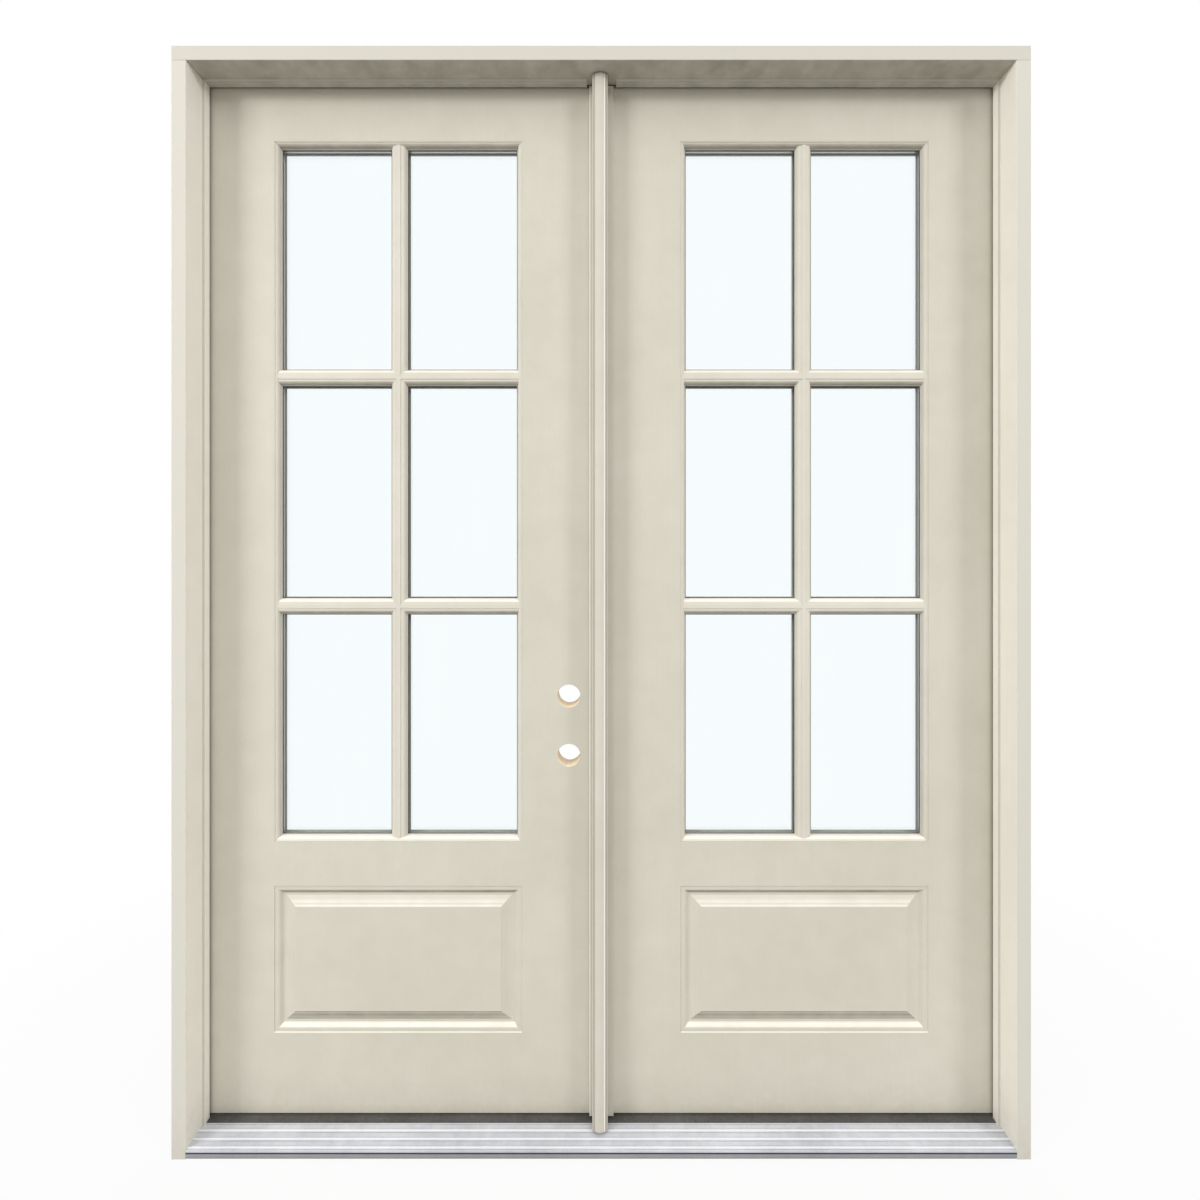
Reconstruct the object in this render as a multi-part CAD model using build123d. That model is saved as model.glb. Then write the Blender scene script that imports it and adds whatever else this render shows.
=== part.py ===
from build123d import *
import os
from math import radians, sin, tan

# Inswing pair of glazed french doors in their own frame.
# X runs along the wall, Y through it towards the room, Z up. The origin is at the middle of the frame's foot.
# All lengths are in millimetres.

tiny = 0.000001

# Frame
unit_width = 1911.35
unit_height = 2476.5
jamb_depth = 115.9
jamb_face = 31.75
stop_rise = 6.35
rabbet_thickness = 22.2
stop_width = 15.9
arris = 1.0
kerf_width = 3.0
kerf_depth = 8.0

# Leaves
leaf_thickness = 44.45
seal_gap = 6.35
side_gap = 3.15
head_gap = 3.15
meeting_gap = 31.75
leaf_foot = 28.6
skin = 2.0
stile_width = 32.0
top_rail_height = 38.0
bottom_rail_height = 50.0

# Glazed light and raised panel
light_width = 584.2
light_height = 1651.0
light_shift = 5.5
light_margin_top = 133.35
light_panel_margin = 104.0
panel_margin_foot = 189.2
sticking_width = 12.7
glass_unit = 15.9
pane = 3.0
glass_bite = 9.5
spacer_width = 8.0
muntin_width = 38.1
muntin_fillet = 9.5
muntin_below_face = 2.0
muntin_edge_height = 2.2
muntin_edge_step = 2.0
muntin_quirk = 2.8
muntin_shoulder_drop = 1.2
muntin_cope = 3.4
lite_bevel = 0.8
lite_bead = 2.6
lite_step = 1.0
lite_land = 10.2
lite_ovolo = 7.0
lite_ledge = 3.1
light_columns = 2
light_rows = 3
panel_moulding = 49.5
panel_valley = 8.0
panel_edge = 1.0
panel_edge_drop = 1.5
panel_lip = 5.0
panel_lip_drop = 2.0
panel_ledge = 1.4
panel_shoulder = 14.0
panel_shoulder_drop = 4.7
cove_start_share = 0.24
cove_end_share = 0.36
valley_end_share = 0.51
panel_field_drop = 0.9

# Lock preparation in the active leaf
lock_bore_radius = 26.99
edge_bore_radius = 12.7
backset = 60.325
latch_height = 870.8
deadbolt_spacing = 139.7
lock_block_width = 86.0
lock_block_margin = 60.0

# Hinges
hinge_height = 101.6
hinge_thickness = 3.1
hinge_edge = 7.0
hinge_count = 4
hinge_from_top = 177.8
hinge_from_foot = 279.4
knuckle_radius = 6.35
knuckle_count = 5
knuckle_gap = 0.25
knuckle_stand = 0.7
pin_radius = 3.0
pin_clearance = 0.05
pin_head_radius = 4.6
pin_head_height = 2.2
pin_tip = 1.5
hinge_fit = 0.1

# Sill
deck_front_height = 19.0
deck_back_height = 23.2
deck_wall = 1.6
deck_lip = 3.0
deck_tongue = 8.0
ridge_width = 6.0
ridge_height = 1.2
ridge_pitch = 16.5
ridge_count = 3
ridge_start = 5.5
cap_height = 25.0
cap_seat = 18.0
cap_stand = 17.5
cap_width = 50.0
cap_fit = 0.3
nosing_height = 23.0

# Seals
strip_stand = 13.0
strip_round = 2.4
seal_clear = 0.35
sweep_plate = 2.0
sweep_inset = 3.0
sweep_fin = 1.2
sweep_fins = 3
pad_height = 50.0
pad_clear = 0.35
pad_width = 26.0

# Astragal on the passive leaf
leaf_clearance = 3.175
flange_front = 8.0
flange_seal_recess = 4.0
flange_active_lap = 11.6
flange_passive_lap = 12.7
nose_width = 35.5
nose_active_lap = 4.6
nose_depth = 36.5
nose_crown = 7.0
astragal_foot = 29.5
astragal_head_gap = 0.4
notch_gap = 6.0

# Flush bolts in the astragal
bolt_radius = 4.75
bolt_slide_gap = 0.3
bolt_travel = 16.0
bolt_length = 300.0
bolt_setback = 1.2
bolt_room_y = 22.0
bolt_stem_width = 6.0
bolt_stem_height = 10.0
bolt_stem_gap = 0.5
bolt_plate_thickness = 2.5
bolt_plate_width = 19.0
bolt_plate_length = 150.0
bolt_plate_end = 12.0
strike_thickness = 2.0
strike_width = 24.0
strike_length = 60.0
strike_hole_gap = 0.9
strike_hole_spare = 2.5
bush_radius = 9.0

# Places that follow from the sizes
half_width = unit_width / 2
front_y = -jamb_depth / 2
back_y = jamb_depth / 2
leaf_out_y = back_y - leaf_thickness
stop_back_y = leaf_out_y - seal_gap
stop_front_y = stop_back_y - stop_width
stop_thickness = jamb_face + stop_rise
rabbet_x = half_width - rabbet_thickness
leaf_edge_x = rabbet_x - side_gap
meeting_x = meeting_gap / 2
leaf_head = unit_height - rabbet_thickness - head_gap
light_x = (leaf_edge_x + meeting_x) / 2 + light_shift
light_top = leaf_head - light_margin_top
light_z = light_top - light_height / 2
panel_top = light_top - light_height - light_panel_margin
panel_height = panel_top - leaf_foot - panel_margin_foot
panel_z = panel_top - panel_height / 2
glass_recess = (leaf_thickness - glass_unit) / 2
hinge_axis_x = leaf_edge_x + side_gap / 2
hinge_axis_y = back_y + knuckle_radius + knuckle_stand
cap_front_y = leaf_out_y - cap_stand
cap_back_y = cap_front_y + cap_width
bolt_x = meeting_x - (meeting_gap - leaf_clearance) / 2
bolt_y = leaf_out_y + bolt_room_y
nose_top = unit_height - rabbet_thickness - strip_stand - astragal_head_gap


def block(x0, x1, y0, y1, z0, z1):
    """Box between two opposite corners."""
    middle = Pos((x0 + x1) / 2, (y0 + y1) / 2, (z0 + z1) / 2)
    return middle * Box(abs(x1 - x0), abs(y1 - y0), abs(z1 - z0))


def outline(corners):
    """Flat face with straight sides. A corner is (x, y), or (x, y, radius) where it is rounded."""
    count = len(corners)
    edges = []
    ends = []
    for index, corner in enumerate(corners):
        here = Vector(corner[0], corner[1])
        radius = corner[2] if len(corner) > 2 else 0
        into = (Vector(*corners[index - 1][:2]) - here).normalized()
        onward = (Vector(*corners[(index + 1) % count][:2]) - here).normalized()
        start = here
        end = here
        if radius:
            half_angle = radians(into.get_angle(onward)) / 2
            start = here + into * (radius / tan(half_angle))
            end = here + onward * (radius / tan(half_angle))
            centre = here + (into + onward).normalized() * (radius / sin(half_angle))
            edges.append(ThreePointArc(start, centre + (here - centre).normalized() * radius, end))
        ends.append((start, end))
    for index in range(count):
        start = ends[index][1]
        end = ends[(index + 1) % count][0]
        if (end - start).length > tiny:
            edges.append(Line(start, end))
    return make_face(edges)


def upright(face, z0, z1):
    """Section drawn in X and Y, carried from z0 up to z1."""
    return extrude(Pos(0, 0, z0) * face, z1 - z0)


def along_x(face, x0, x1):
    """Section drawn in Y and Z, carried from x0 to x1."""
    return extrude(Plane(origin=(x0, 0, 0), x_dir=(0, 1, 0), z_dir=(1, 0, 0)) * face, x1 - x0)


def picture_frame(section, x_mid, z_mid, width, height, face_y, inward):
    """Section of (distance in from the edge, depth), mitred round a rectangle on a face of the leaf."""
    reach = section.bounding_box().max.X
    depth = section.bounding_box().max.Y
    sides = []
    for turn in range(4):
        half_run = (width if turn % 2 == 0 else height) / 2
        half_off = (height if turn % 2 == 0 else width) / 2
        start = Plane(origin=(-half_run, -half_off, 0), x_dir=(0, 1, 0), z_dir=(-inward, 0, 0))
        bar = extrude(start * section, 2 * half_run, dir=(1, 0, 0))
        mitre = outline([
            (-half_run, -half_off),
            (half_run, -half_off),
            (half_run - reach, reach - half_off),
            (reach - half_run, reach - half_off),
        ])
        bar &= extrude(mitre, 2 * depth, both=True)
        sides.append(Rot(0, 0, 90 * turn) * bar)
    ring = sides[0] + sides[1] + sides[2] + sides[3]
    return Plane(origin=(x_mid, face_y, z_mid), x_dir=(1, 0, 0), z_dir=(0, -1, 0)) * ring


def jamb_section(kerf=True):
    """Double rabbet section of (thickness from the outer face, Y), with the slot for the weatherstrip."""
    corners = [
        (0, front_y),
        (jamb_face, front_y, arris),
        (jamb_face, stop_front_y),
        (stop_thickness, stop_front_y, arris),
        (stop_thickness, stop_back_y, arris),
    ]
    if kerf:
        corners += [
            (rabbet_thickness - kerf_depth, stop_back_y),
            (rabbet_thickness - kerf_depth, stop_back_y + kerf_width),
            (rabbet_thickness, stop_back_y + kerf_width),
        ]
    else:
        corners += [(rabbet_thickness, stop_back_y)]
    corners += [(rabbet_thickness, back_y, arris), (0, back_y)]
    return outline(corners)


def on_side(side, section, z0, z1):
    """Section in (thickness from the outer face, Y) of one side, carried upright from z0 to z1."""
    flat = section if side < 0 else mirror(section, about=Plane.YZ)
    return upright(Pos(side * half_width, 0, 0) * flat, z0, z1)


def on_head(section, x0, x1):
    """Section in (thickness from the top face, Y) of the head, carried from x0 to x1."""
    turned = Plane(origin=(x0, 0, unit_height), x_dir=(0, 0, -1), z_dir=(1, 0, 0)) * section
    return extrude(turned, x1 - x0, dir=(1, 0, 0))


def hinge_heights():
    """Middle of each hinge, from the foot up."""
    low = leaf_foot + hinge_from_foot + hinge_height / 2
    high = leaf_head - hinge_from_top - hinge_height / 2
    step = (high - low) / (hinge_count - 1)
    return [low + step * index for index in range(hinge_count)]


def hinge_plate(x_face, thickness, z_mid, grow=0.0):
    """Square-cornered hinge plate lying against a face at x_face."""
    half = hinge_height / 2 + grow
    edge_y = leaf_out_y + hinge_edge - grow
    return block(x_face, x_face + thickness, edge_y, hinge_axis_y, z_mid - half, z_mid + half)


def hinge_gains(side, x_face, outward):
    """Shallow recesses for the hinge plates, cut behind a face at x_face."""
    depth = side * outward * (hinge_thickness + hinge_fit)
    gains = [hinge_plate(side * x_face, depth, z, grow=hinge_fit) for z in hinge_heights()]
    return Compound(gains)


def hinge_leaf(side, z_mid, x_face, outward, own):
    """One half of a butt hinge: plate and its own knuckles, cleared round the other half's knuckles."""
    body = hinge_plate(side * x_face, side * outward * hinge_thickness, z_mid)
    pitch = hinge_height / knuckle_count
    notch = knuckle_radius + 2 * knuckle_gap
    for index in range(knuckle_count):
        middle = z_mid - hinge_height / 2 + pitch * (index + 0.5)
        place = Pos(side * hinge_axis_x, hinge_axis_y, middle)
        if index % 2 == own:
            body += place * Cylinder(knuckle_radius, pitch - knuckle_gap)
        else:
            body -= place * Box(2 * notch, 2 * notch, pitch + knuckle_gap)
    bore = Cylinder(pin_radius + pin_clearance, 2 * hinge_height)
    return body - Pos(side * hinge_axis_x, hinge_axis_y, z_mid) * bore


def jamb_hinge_leaves(side):
    """Jamb halves of the hinges, each with the odd knuckles."""
    return Compound([hinge_leaf(side, z, rabbet_x, 1, 0) for z in hinge_heights()])


def leaf_hinge_leaves(side):
    """Leaf halves of the hinges, each with the even knuckles."""
    return Compound([hinge_leaf(side, z, leaf_edge_x, -1, 1) for z in hinge_heights()])


def hinge_pins(side):
    """Loose pins with a flat head over the top knuckle."""
    pins = []
    for z in hinge_heights():
        top = z + hinge_height / 2 + knuckle_gap
        shank_length = hinge_height + knuckle_gap + pin_tip
        shank = Pos(0, 0, top - shank_length / 2) * Cylinder(pin_radius, shank_length)
        head = Pos(0, 0, top + pin_head_height / 2) * Cylinder(pin_head_radius, pin_head_height)
        pins.append(Pos(side * hinge_axis_x, hinge_axis_y, 0) * (shank + head))
    return Compound(pins)


def nose_ends():
    """Left and right side of the astragal's nose."""
    left = -(meeting_x + nose_active_lap)
    return left, left + nose_width


def head_jamb():
    """Head with a notch in its stop that the astragal's nose swings through, and the top bolt's hole."""
    body = on_head(jamb_section(), -half_width, half_width)
    body -= block(
        -(meeting_x + flange_active_lap + notch_gap), meeting_x + flange_passive_lap + notch_gap,
        stop_front_y, stop_back_y,
        unit_height - stop_thickness, unit_height - jamb_face,
    )
    soffit = unit_height - rabbet_thickness
    hole_depth = bolt_travel - head_gap + strike_hole_spare
    hole = Pos(bolt_x, bolt_y, soffit + hole_depth / 2) * Cylinder(bolt_radius + strike_hole_gap, hole_depth)
    return body - hole - strike_blank()


def strike_blank():
    """Flat plate under the head round the top bolt."""
    soffit = unit_height - rabbet_thickness
    return block(
        bolt_x - strike_length / 2, bolt_x + strike_length / 2,
        bolt_y - strike_width / 2, bolt_y + strike_width / 2,
        soffit, soffit + strike_thickness,
    )


def head_bolt_strike():
    """Strike plate with the hole that takes the top bolt."""
    plate = fillet(strike_blank().edges().filter_by(Axis.Z), strike_width / 4)
    hole = Pos(bolt_x, bolt_y, unit_height) * Cylinder(bolt_radius + strike_hole_gap, 4 * rabbet_thickness)
    return plate - hole


def side_jamb(side):
    """Side jamb, butted under the stepped head, with the hinge gains."""
    body = on_side(side, jamb_section(), 0, unit_height)
    body -= on_head(jamb_section(kerf=False), -half_width, half_width)
    return body - hinge_gains(side, rabbet_x, 1)


def weatherstrip_section():
    """Foam bulb beside the stop with a barb that fits the slot."""
    bulb_back = leaf_out_y - seal_clear
    return outline([
        (rabbet_thickness - kerf_depth, stop_back_y),
        (rabbet_thickness + strip_stand, stop_back_y, strip_round),
        (rabbet_thickness + strip_stand, bulb_back, strip_round),
        (rabbet_thickness, bulb_back, arris),
        (rabbet_thickness, stop_back_y + kerf_width),
        (rabbet_thickness - kerf_depth, stop_back_y + kerf_width),
    ])


def side_weatherstrip(side):
    """Seal in the slot of a side jamb, from the threshold to the head's seal."""
    top = unit_height - rabbet_thickness - strip_stand
    return on_side(side, weatherstrip_section(), cap_height, top)


def head_weatherstrip():
    """Seal in the slot of the head, between the side jambs."""
    return on_head(weatherstrip_section(), -rabbet_x, rabbet_x)


def corner_pads():
    """Foam pads at the foot of both jambs, behind the seals."""
    pads = []
    for side in (-1, 1):
        pads.append(block(
            side * rabbet_x, side * (rabbet_x - side_gap + pad_clear),
            leaf_out_y, leaf_out_y + pad_width,
            cap_height, cap_height + pad_height,
        ))
    return Compound(pads)


def clear_of_jambs(body):
    """What is left of a full-width sill piece between the side jambs."""
    for side in (-1, 1):
        body -= on_side(side, jamb_section(kerf=False), 0, unit_height / 2)
    return body


def deck_height(y):
    """Height of the deck's top at a distance through the wall."""
    share = (y - front_y) / (cap_front_y - front_y)
    return deck_front_height + (deck_back_height - deck_front_height) * share


def deck_ridge(y_mid):
    """Trapezium ridge along the deck, as points from back to front."""
    half = ridge_width / 2
    crown = half - ridge_height / 2
    return [
        (y_mid + half, deck_height(y_mid + half)),
        (y_mid + crown, deck_height(y_mid + crown) + ridge_height),
        (y_mid - crown, deck_height(y_mid - crown) + ridge_height),
        (y_mid - half, deck_height(y_mid - half)),
    ]


def sill_deck():
    """Ribbed aluminium deck: a sloped sheet with a front lip and a tongue under the cap."""
    tongue_y = cap_front_y + deck_tongue
    top = [(tongue_y, deck_back_height - ridge_height), (cap_front_y, deck_back_height - ridge_height)]
    top += [(cap_front_y, deck_back_height)]
    for index in reversed(range(ridge_count)):
        top += deck_ridge(front_y + ridge_start + ridge_pitch * index)
    corners = top + [
        (front_y, deck_front_height, arris),
        (front_y, deck_lip),
        (front_y + deck_wall, deck_lip),
        (front_y + deck_wall, deck_front_height - deck_wall),
        (cap_front_y, deck_back_height - deck_wall - ridge_height),
        (tongue_y, deck_back_height - deck_wall - ridge_height),
    ]
    return clear_of_jambs(along_x(outline(corners), -half_width, half_width))


def sill_base():
    """Composite block under the deck and the cap, with a nosing on the room side."""
    tongue_y = cap_front_y + deck_tongue
    deck_under = deck_back_height - deck_wall - ridge_height
    corners = [
        (front_y + deck_wall, 0),
        (back_y, 0),
        (back_y, nosing_height, arris),
        (cap_back_y + cap_fit, nosing_height),
        (cap_back_y + cap_fit, cap_seat),
        (tongue_y + cap_fit, cap_seat),
        (tongue_y + cap_fit, deck_under),
        (cap_front_y, deck_under),
        (front_y + deck_wall, deck_front_height - deck_wall),
    ]
    body = clear_of_jambs(along_x(outline(corners), -half_width, half_width))
    hole = Cylinder(bolt_radius + strike_hole_gap, 2 * bolt_hole_depth())
    return body - Pos(bolt_x, bolt_y, cap_seat) * hole


def bolt_hole_depth():
    """How far the bottom bolt's hole goes below the cap's seat."""
    return cap_seat - (leaf_foot + bolt_setback - bolt_travel) + strike_hole_spare


def threshold_cap():
    """Dark rail under the leaves, with a lap over the deck's tongue and a hole for the bolt bush."""
    tongue_y = cap_front_y + deck_tongue
    lap_z = deck_back_height - ridge_height
    corners = [
        (cap_front_y, lap_z),
        (cap_front_y, cap_height, arris),
        (cap_back_y, cap_height, arris),
        (cap_back_y, cap_seat),
        (tongue_y + cap_fit, cap_seat),
        (tongue_y + cap_fit, lap_z),
    ]
    body = clear_of_jambs(along_x(outline(corners), -half_width, half_width))
    return body - Pos(bolt_x, bolt_y, cap_seat) * Cylinder(bush_radius, 4 * bush_radius)


def threshold_bolt_bush():
    """Metal ring in the cap round the bottom bolt."""
    depth = cap_height - cap_seat
    ring = Cylinder(bush_radius, depth) - Cylinder(bolt_radius + strike_hole_gap, 2 * depth)
    return Pos(bolt_x, bolt_y, cap_seat + depth / 2) * ring


def panel_line(drop):
    """Moulding line of the raised panel as (distance in from the edge, depth), moved down by drop."""
    cove_in = panel_moulding * cove_start_share
    cove_out = panel_moulding * cove_end_share
    valley_in = panel_moulding * valley_end_share
    lip_in = panel_moulding - panel_lip
    field = drop + panel_field_drop
    return [
        (0, drop),
        (panel_edge, drop + panel_edge_drop),
        (cove_in, drop + panel_edge_drop, panel_valley),
        (cove_out, drop + panel_valley, panel_valley - skin),
        (valley_in, drop + panel_valley),
        (panel_moulding - panel_shoulder, field + panel_shoulder_drop),
        (lip_in - panel_ledge, field + panel_lip_drop),
        (lip_in, field + panel_lip_drop),
        (panel_moulding, field),
    ]


def panel_shell(x_mid, face_y, inward):
    """Moulded panel: the stepped and bevelled border and the flat field, one skin thick."""
    section = outline(panel_line(0) + panel_line(skin)[::-1])
    border = picture_frame(section, x_mid, panel_z, light_width, panel_height, face_y, inward)
    field = panel_field(x_mid, face_y, inward, panel_field_drop, panel_field_drop + skin)
    return border + field


def panel_field(x_mid, face_y, inward, depth0, depth1):
    """Flat middle of the panel between two depths."""
    half_x = light_width / 2 - panel_moulding
    half_z = panel_height / 2 - panel_moulding
    return block(
        x_mid - half_x, x_mid + half_x,
        face_y + inward * depth0, face_y + inward * depth1,
        panel_z - half_z, panel_z + half_z,
    )


def panel_room(x_mid, face_y, inward):
    """All that the moulded panel takes up below the leaf's face."""
    section = outline([(0, 0)] + panel_line(skin) + [(panel_moulding, 0)])
    border = picture_frame(section, x_mid, panel_z, light_width, panel_height, face_y, inward)
    return border + panel_field(x_mid, face_y, inward, 0, panel_field_drop + skin)


def light_hole(x_mid):
    """Rectangular way through the leaf for the glass and its frames."""
    return block(
        x_mid - light_width / 2, x_mid + light_width / 2,
        leaf_out_y - 1, back_y + 1,
        light_z - light_height / 2, light_z + light_height / 2,
    )


def lock_bores(grow=0.0):
    """Two bores through the active leaf and the two bores from its edge."""
    x_mid = -(meeting_x + backset)
    bores = []
    for z in (latch_height, latch_height + deadbolt_spacing):
        across = Cylinder(lock_bore_radius + grow, 2 * leaf_thickness)
        bores.append(Pos(x_mid, (leaf_out_y + back_y) / 2, z) * (Rot(90, 0, 0) * across))
        edge = Cylinder(edge_bore_radius + grow, backset)
        bores.append(Pos(x_mid + backset / 2, (leaf_out_y + back_y) / 2, z) * (Rot(0, 90, 0) * edge))
    return Compound(bores)


def leaf_skin(side, face_y, inward):
    """Moulded skin of a leaf with the glass cut-out and the raised panel."""
    x_mid = side * light_x
    sheet = block(
        side * meeting_x, side * leaf_edge_x,
        face_y, face_y + inward * skin,
        leaf_foot, leaf_head,
    )
    sheet -= light_hole(x_mid)
    sheet -= block(
        x_mid - light_width / 2, x_mid + light_width / 2,
        face_y - inward, face_y + inward * 2 * skin,
        panel_z - panel_height / 2, panel_z + panel_height / 2,
    )
    sheet += panel_shell(x_mid, face_y, inward)
    if inward < 0:
        sheet -= hinge_gains(side, leaf_edge_x, -1)
    if side < 0:
        sheet -= lock_bores()
    return sheet


def stile(side, x_edge, inward):
    """Edge member of the leaf from foot to head, between the skins."""
    return block(
        side * x_edge, side * (x_edge + inward * stile_width),
        leaf_out_y + skin, back_y - skin,
        leaf_foot, leaf_head,
    )


def hinge_stile(side):
    """Stile on the hinge side with the hinge gains."""
    return stile(side, leaf_edge_x, -1) - hinge_gains(side, leaf_edge_x, -1)


def meeting_stile(side):
    """Stile on the meeting side, bored for the lock on the active leaf."""
    body = stile(side, meeting_x, 1)
    if side < 0:
        body -= lock_bores()
    return body


def rail(side, z0, z1):
    """Member between the stiles."""
    return block(
        side * (meeting_x + stile_width), side * (leaf_edge_x - stile_width),
        leaf_out_y + skin, back_y - skin,
        z0, z1,
    )


def lock_block_blank():
    """Solid wood round the lock bores."""
    inner = meeting_x + stile_width
    return block(
        -inner, -(inner + lock_block_width),
        leaf_out_y + skin, back_y - skin,
        latch_height - lock_block_margin, latch_height + deadbolt_spacing + lock_block_margin,
    )


def leaf_core(side):
    """Foam that fills the leaf round the glass and behind the panels."""
    x_mid = side * light_x
    body = rail(side, leaf_foot + bottom_rail_height, leaf_head - top_rail_height)
    body -= light_hole(x_mid)
    body -= panel_room(x_mid, leaf_out_y, 1)
    body -= panel_room(x_mid, back_y, -1)
    if side < 0:
        body -= lock_block_blank()
    return body


def light_frame(side, face_y, inward):
    """Mitred frame round the glass: a bevelled outer edge, a land, an ovolo and a ledge."""
    ledge = glass_recess - lite_ledge
    section = outline([
        (0, glass_recess),
        (0, lite_bevel),
        (lite_bevel, 0),
        (lite_bead, 0),
        (lite_bead, lite_step),
        (lite_land, lite_step, lite_ovolo),
        (lite_land, ledge),
        (sticking_width, ledge),
        (sticking_width, glass_recess),
    ])
    return picture_frame(section, side * light_x, light_z, light_width, light_height, face_y, inward)


def muntin_section():
    """Bar on the glass as (distance across, height): a raised fillet between two ovolo sides."""
    height = glass_recess - muntin_below_face
    half = muntin_width / 2
    fillet_half = muntin_fillet / 2
    shoulder = height - muntin_shoulder_drop
    right = [
        (half, 0),
        (half, muntin_edge_height),
        (half - muntin_edge_step, muntin_edge_height),
        (half - muntin_edge_step, shoulder, shoulder - muntin_quirk),
        (fillet_half, shoulder),
        (fillet_half, height),
    ]
    left = [(-corner[0],) + tuple(corner[1:]) for corner in reversed(right)]
    return outline(right + left)


def muntin_grid(side, face_y, inward):
    """Bars across the glass, coped to the frame round it."""
    x_mid = side * light_x
    glass_y = face_y + inward * glass_recess
    day_width = light_width - 2 * sticking_width
    day_height = light_height - 2 * sticking_width
    reach = sticking_width - muntin_cope
    bar = muntin_section()
    bars = []
    for index in range(1, light_columns):
        x = x_mid - day_width / 2 + day_width * index / light_columns
        length = day_height + 2 * reach
        start = Plane(origin=(x, glass_y, light_z - length / 2), x_dir=(1, 0, 0), z_dir=(0, 0, -inward))
        bars.append(extrude(start * bar, length, dir=(0, 0, 1)))
    for index in range(1, light_rows):
        z = light_z - day_height / 2 + day_height * index / light_rows
        length = day_width + 2 * reach
        start = Plane(origin=(x_mid - length / 2, glass_y, z), x_dir=(0, 0, 1), z_dir=(inward, 0, 0))
        bars.append(extrude(start * bar, length, dir=(1, 0, 0)))
    grid = bars[0]
    for piece in bars[1:]:
        grid += piece
    return grid - light_frame(side, face_y, inward)


def glass_size():
    """Width and height of the sealed glass unit."""
    edge = 2 * (sticking_width - glass_bite)
    return light_width - edge, light_height - edge


def glass_pane(side, y0):
    """One pane of the sealed unit."""
    width, height = glass_size()
    x_mid = side * light_x
    return block(
        x_mid - width / 2, x_mid + width / 2,
        y0, y0 + pane,
        light_z - height / 2, light_z + height / 2,
    )


def glass_spacer(side):
    """Hollow bar that keeps the panes apart round their edge."""
    width, height = glass_size()
    x_mid = side * light_x
    y0 = leaf_out_y + glass_recess + pane
    y1 = back_y - glass_recess - pane
    outer = block(
        x_mid - width / 2, x_mid + width / 2, y0, y1, light_z - height / 2, light_z + height / 2,
    )
    inner_x = width / 2 - spacer_width
    inner_z = height / 2 - spacer_width
    return outer - block(x_mid - inner_x, x_mid + inner_x, y0 - 1, y1 + 1, light_z - inner_z, light_z + inner_z)


def door_sweep(side):
    """Vinyl sweep under the leaf with fins that reach the threshold cap."""
    x0 = side * (meeting_x + sweep_inset)
    x1 = side * (leaf_edge_x - sweep_inset)
    y0 = cap_front_y + cap_stand + sweep_inset
    y1 = cap_back_y - sweep_inset
    body = block(x0, x1, y0, y1, leaf_foot - sweep_plate, leaf_foot)
    for index in range(sweep_fins):
        y = y0 + (y1 - y0) * (index + 0.5) / sweep_fins
        body += block(x0, x1, y - sweep_fin / 2, y + sweep_fin / 2, cap_height + seal_clear, leaf_foot)
    return body


def astragal_section():
    """T section: leg between the leaves, flange over both faces and a crowned nose."""
    leg_x = leaf_clearance - meeting_x
    flange_y = leaf_out_y - flange_front
    nose_y = flange_y - nose_depth
    nose_x0, nose_x1 = nose_ends()
    leg = outline([
        (leg_x, leaf_out_y),
        (leg_x, back_y, arris),
        (meeting_x, back_y, arris),
        (meeting_x, leaf_out_y),
    ])
    flange = outline([
        (-(meeting_x + flange_active_lap), flange_y, arris),
        (-(meeting_x + flange_active_lap), leaf_out_y - flange_seal_recess),
        (leg_x, leaf_out_y - flange_seal_recess),
        (leg_x, leaf_out_y),
        (meeting_x + flange_passive_lap, leaf_out_y),
        (meeting_x + flange_passive_lap, flange_y, arris),
    ])
    sides = Polyline(
        (nose_x0, nose_y + nose_crown), (nose_x0, flange_y + 1), (nose_x1, flange_y + 1),
        (nose_x1, nose_y + nose_crown),
    )
    crown = ThreePointArc(
        (nose_x1, nose_y + nose_crown), ((nose_x0 + nose_x1) / 2, nose_y), (nose_x0, nose_y + nose_crown),
    )
    nose = make_face([sides, crown])
    return leg, flange + nose


def bolt_ends():
    """Sign and tip height at rest of the top and the bottom bolt."""
    return {1: leaf_head - bolt_setback, -1: leaf_foot + bolt_setback}


def bolt_stem_z(end):
    """Height of a bolt's thumb piece at rest."""
    return bolt_ends()[end] - end * bolt_length


def bolt_room(end):
    """Space in the astragal's leg for a bolt, its thumb piece and its cover plate."""
    tip = bolt_ends()[end]
    low = tip - end * (bolt_length + bolt_plate_end)
    bore = Cylinder(bolt_radius + bolt_slide_gap, abs(tip + end * bolt_length - low))
    bore = Pos(bolt_x, bolt_y, (tip + end * bolt_length + low) / 2) * bore
    leg_x = leaf_clearance - meeting_x
    half_y = bolt_stem_width / 2 + bolt_stem_gap
    stem_z = bolt_stem_z(end)
    reach = bolt_stem_height / 2 + bolt_stem_gap
    slot = block(
        leg_x - 1, bolt_x, bolt_y - half_y, bolt_y + half_y,
        stem_z - end * reach, stem_z + end * (reach + bolt_travel),
    )
    return bore + slot + bolt_plate_blank(end)


def bolt_plate_blank(end):
    """Cover plate let into the edge of the astragal's leg."""
    leg_x = leaf_clearance - meeting_x
    middle = bolt_stem_z(end) + end * bolt_travel / 2
    half_y = bolt_plate_width / 2
    half_z = bolt_plate_length / 2
    return block(
        leg_x, leg_x + bolt_plate_thickness, bolt_y - half_y, bolt_y + half_y,
        middle - half_z, middle + half_z,
    )


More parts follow.
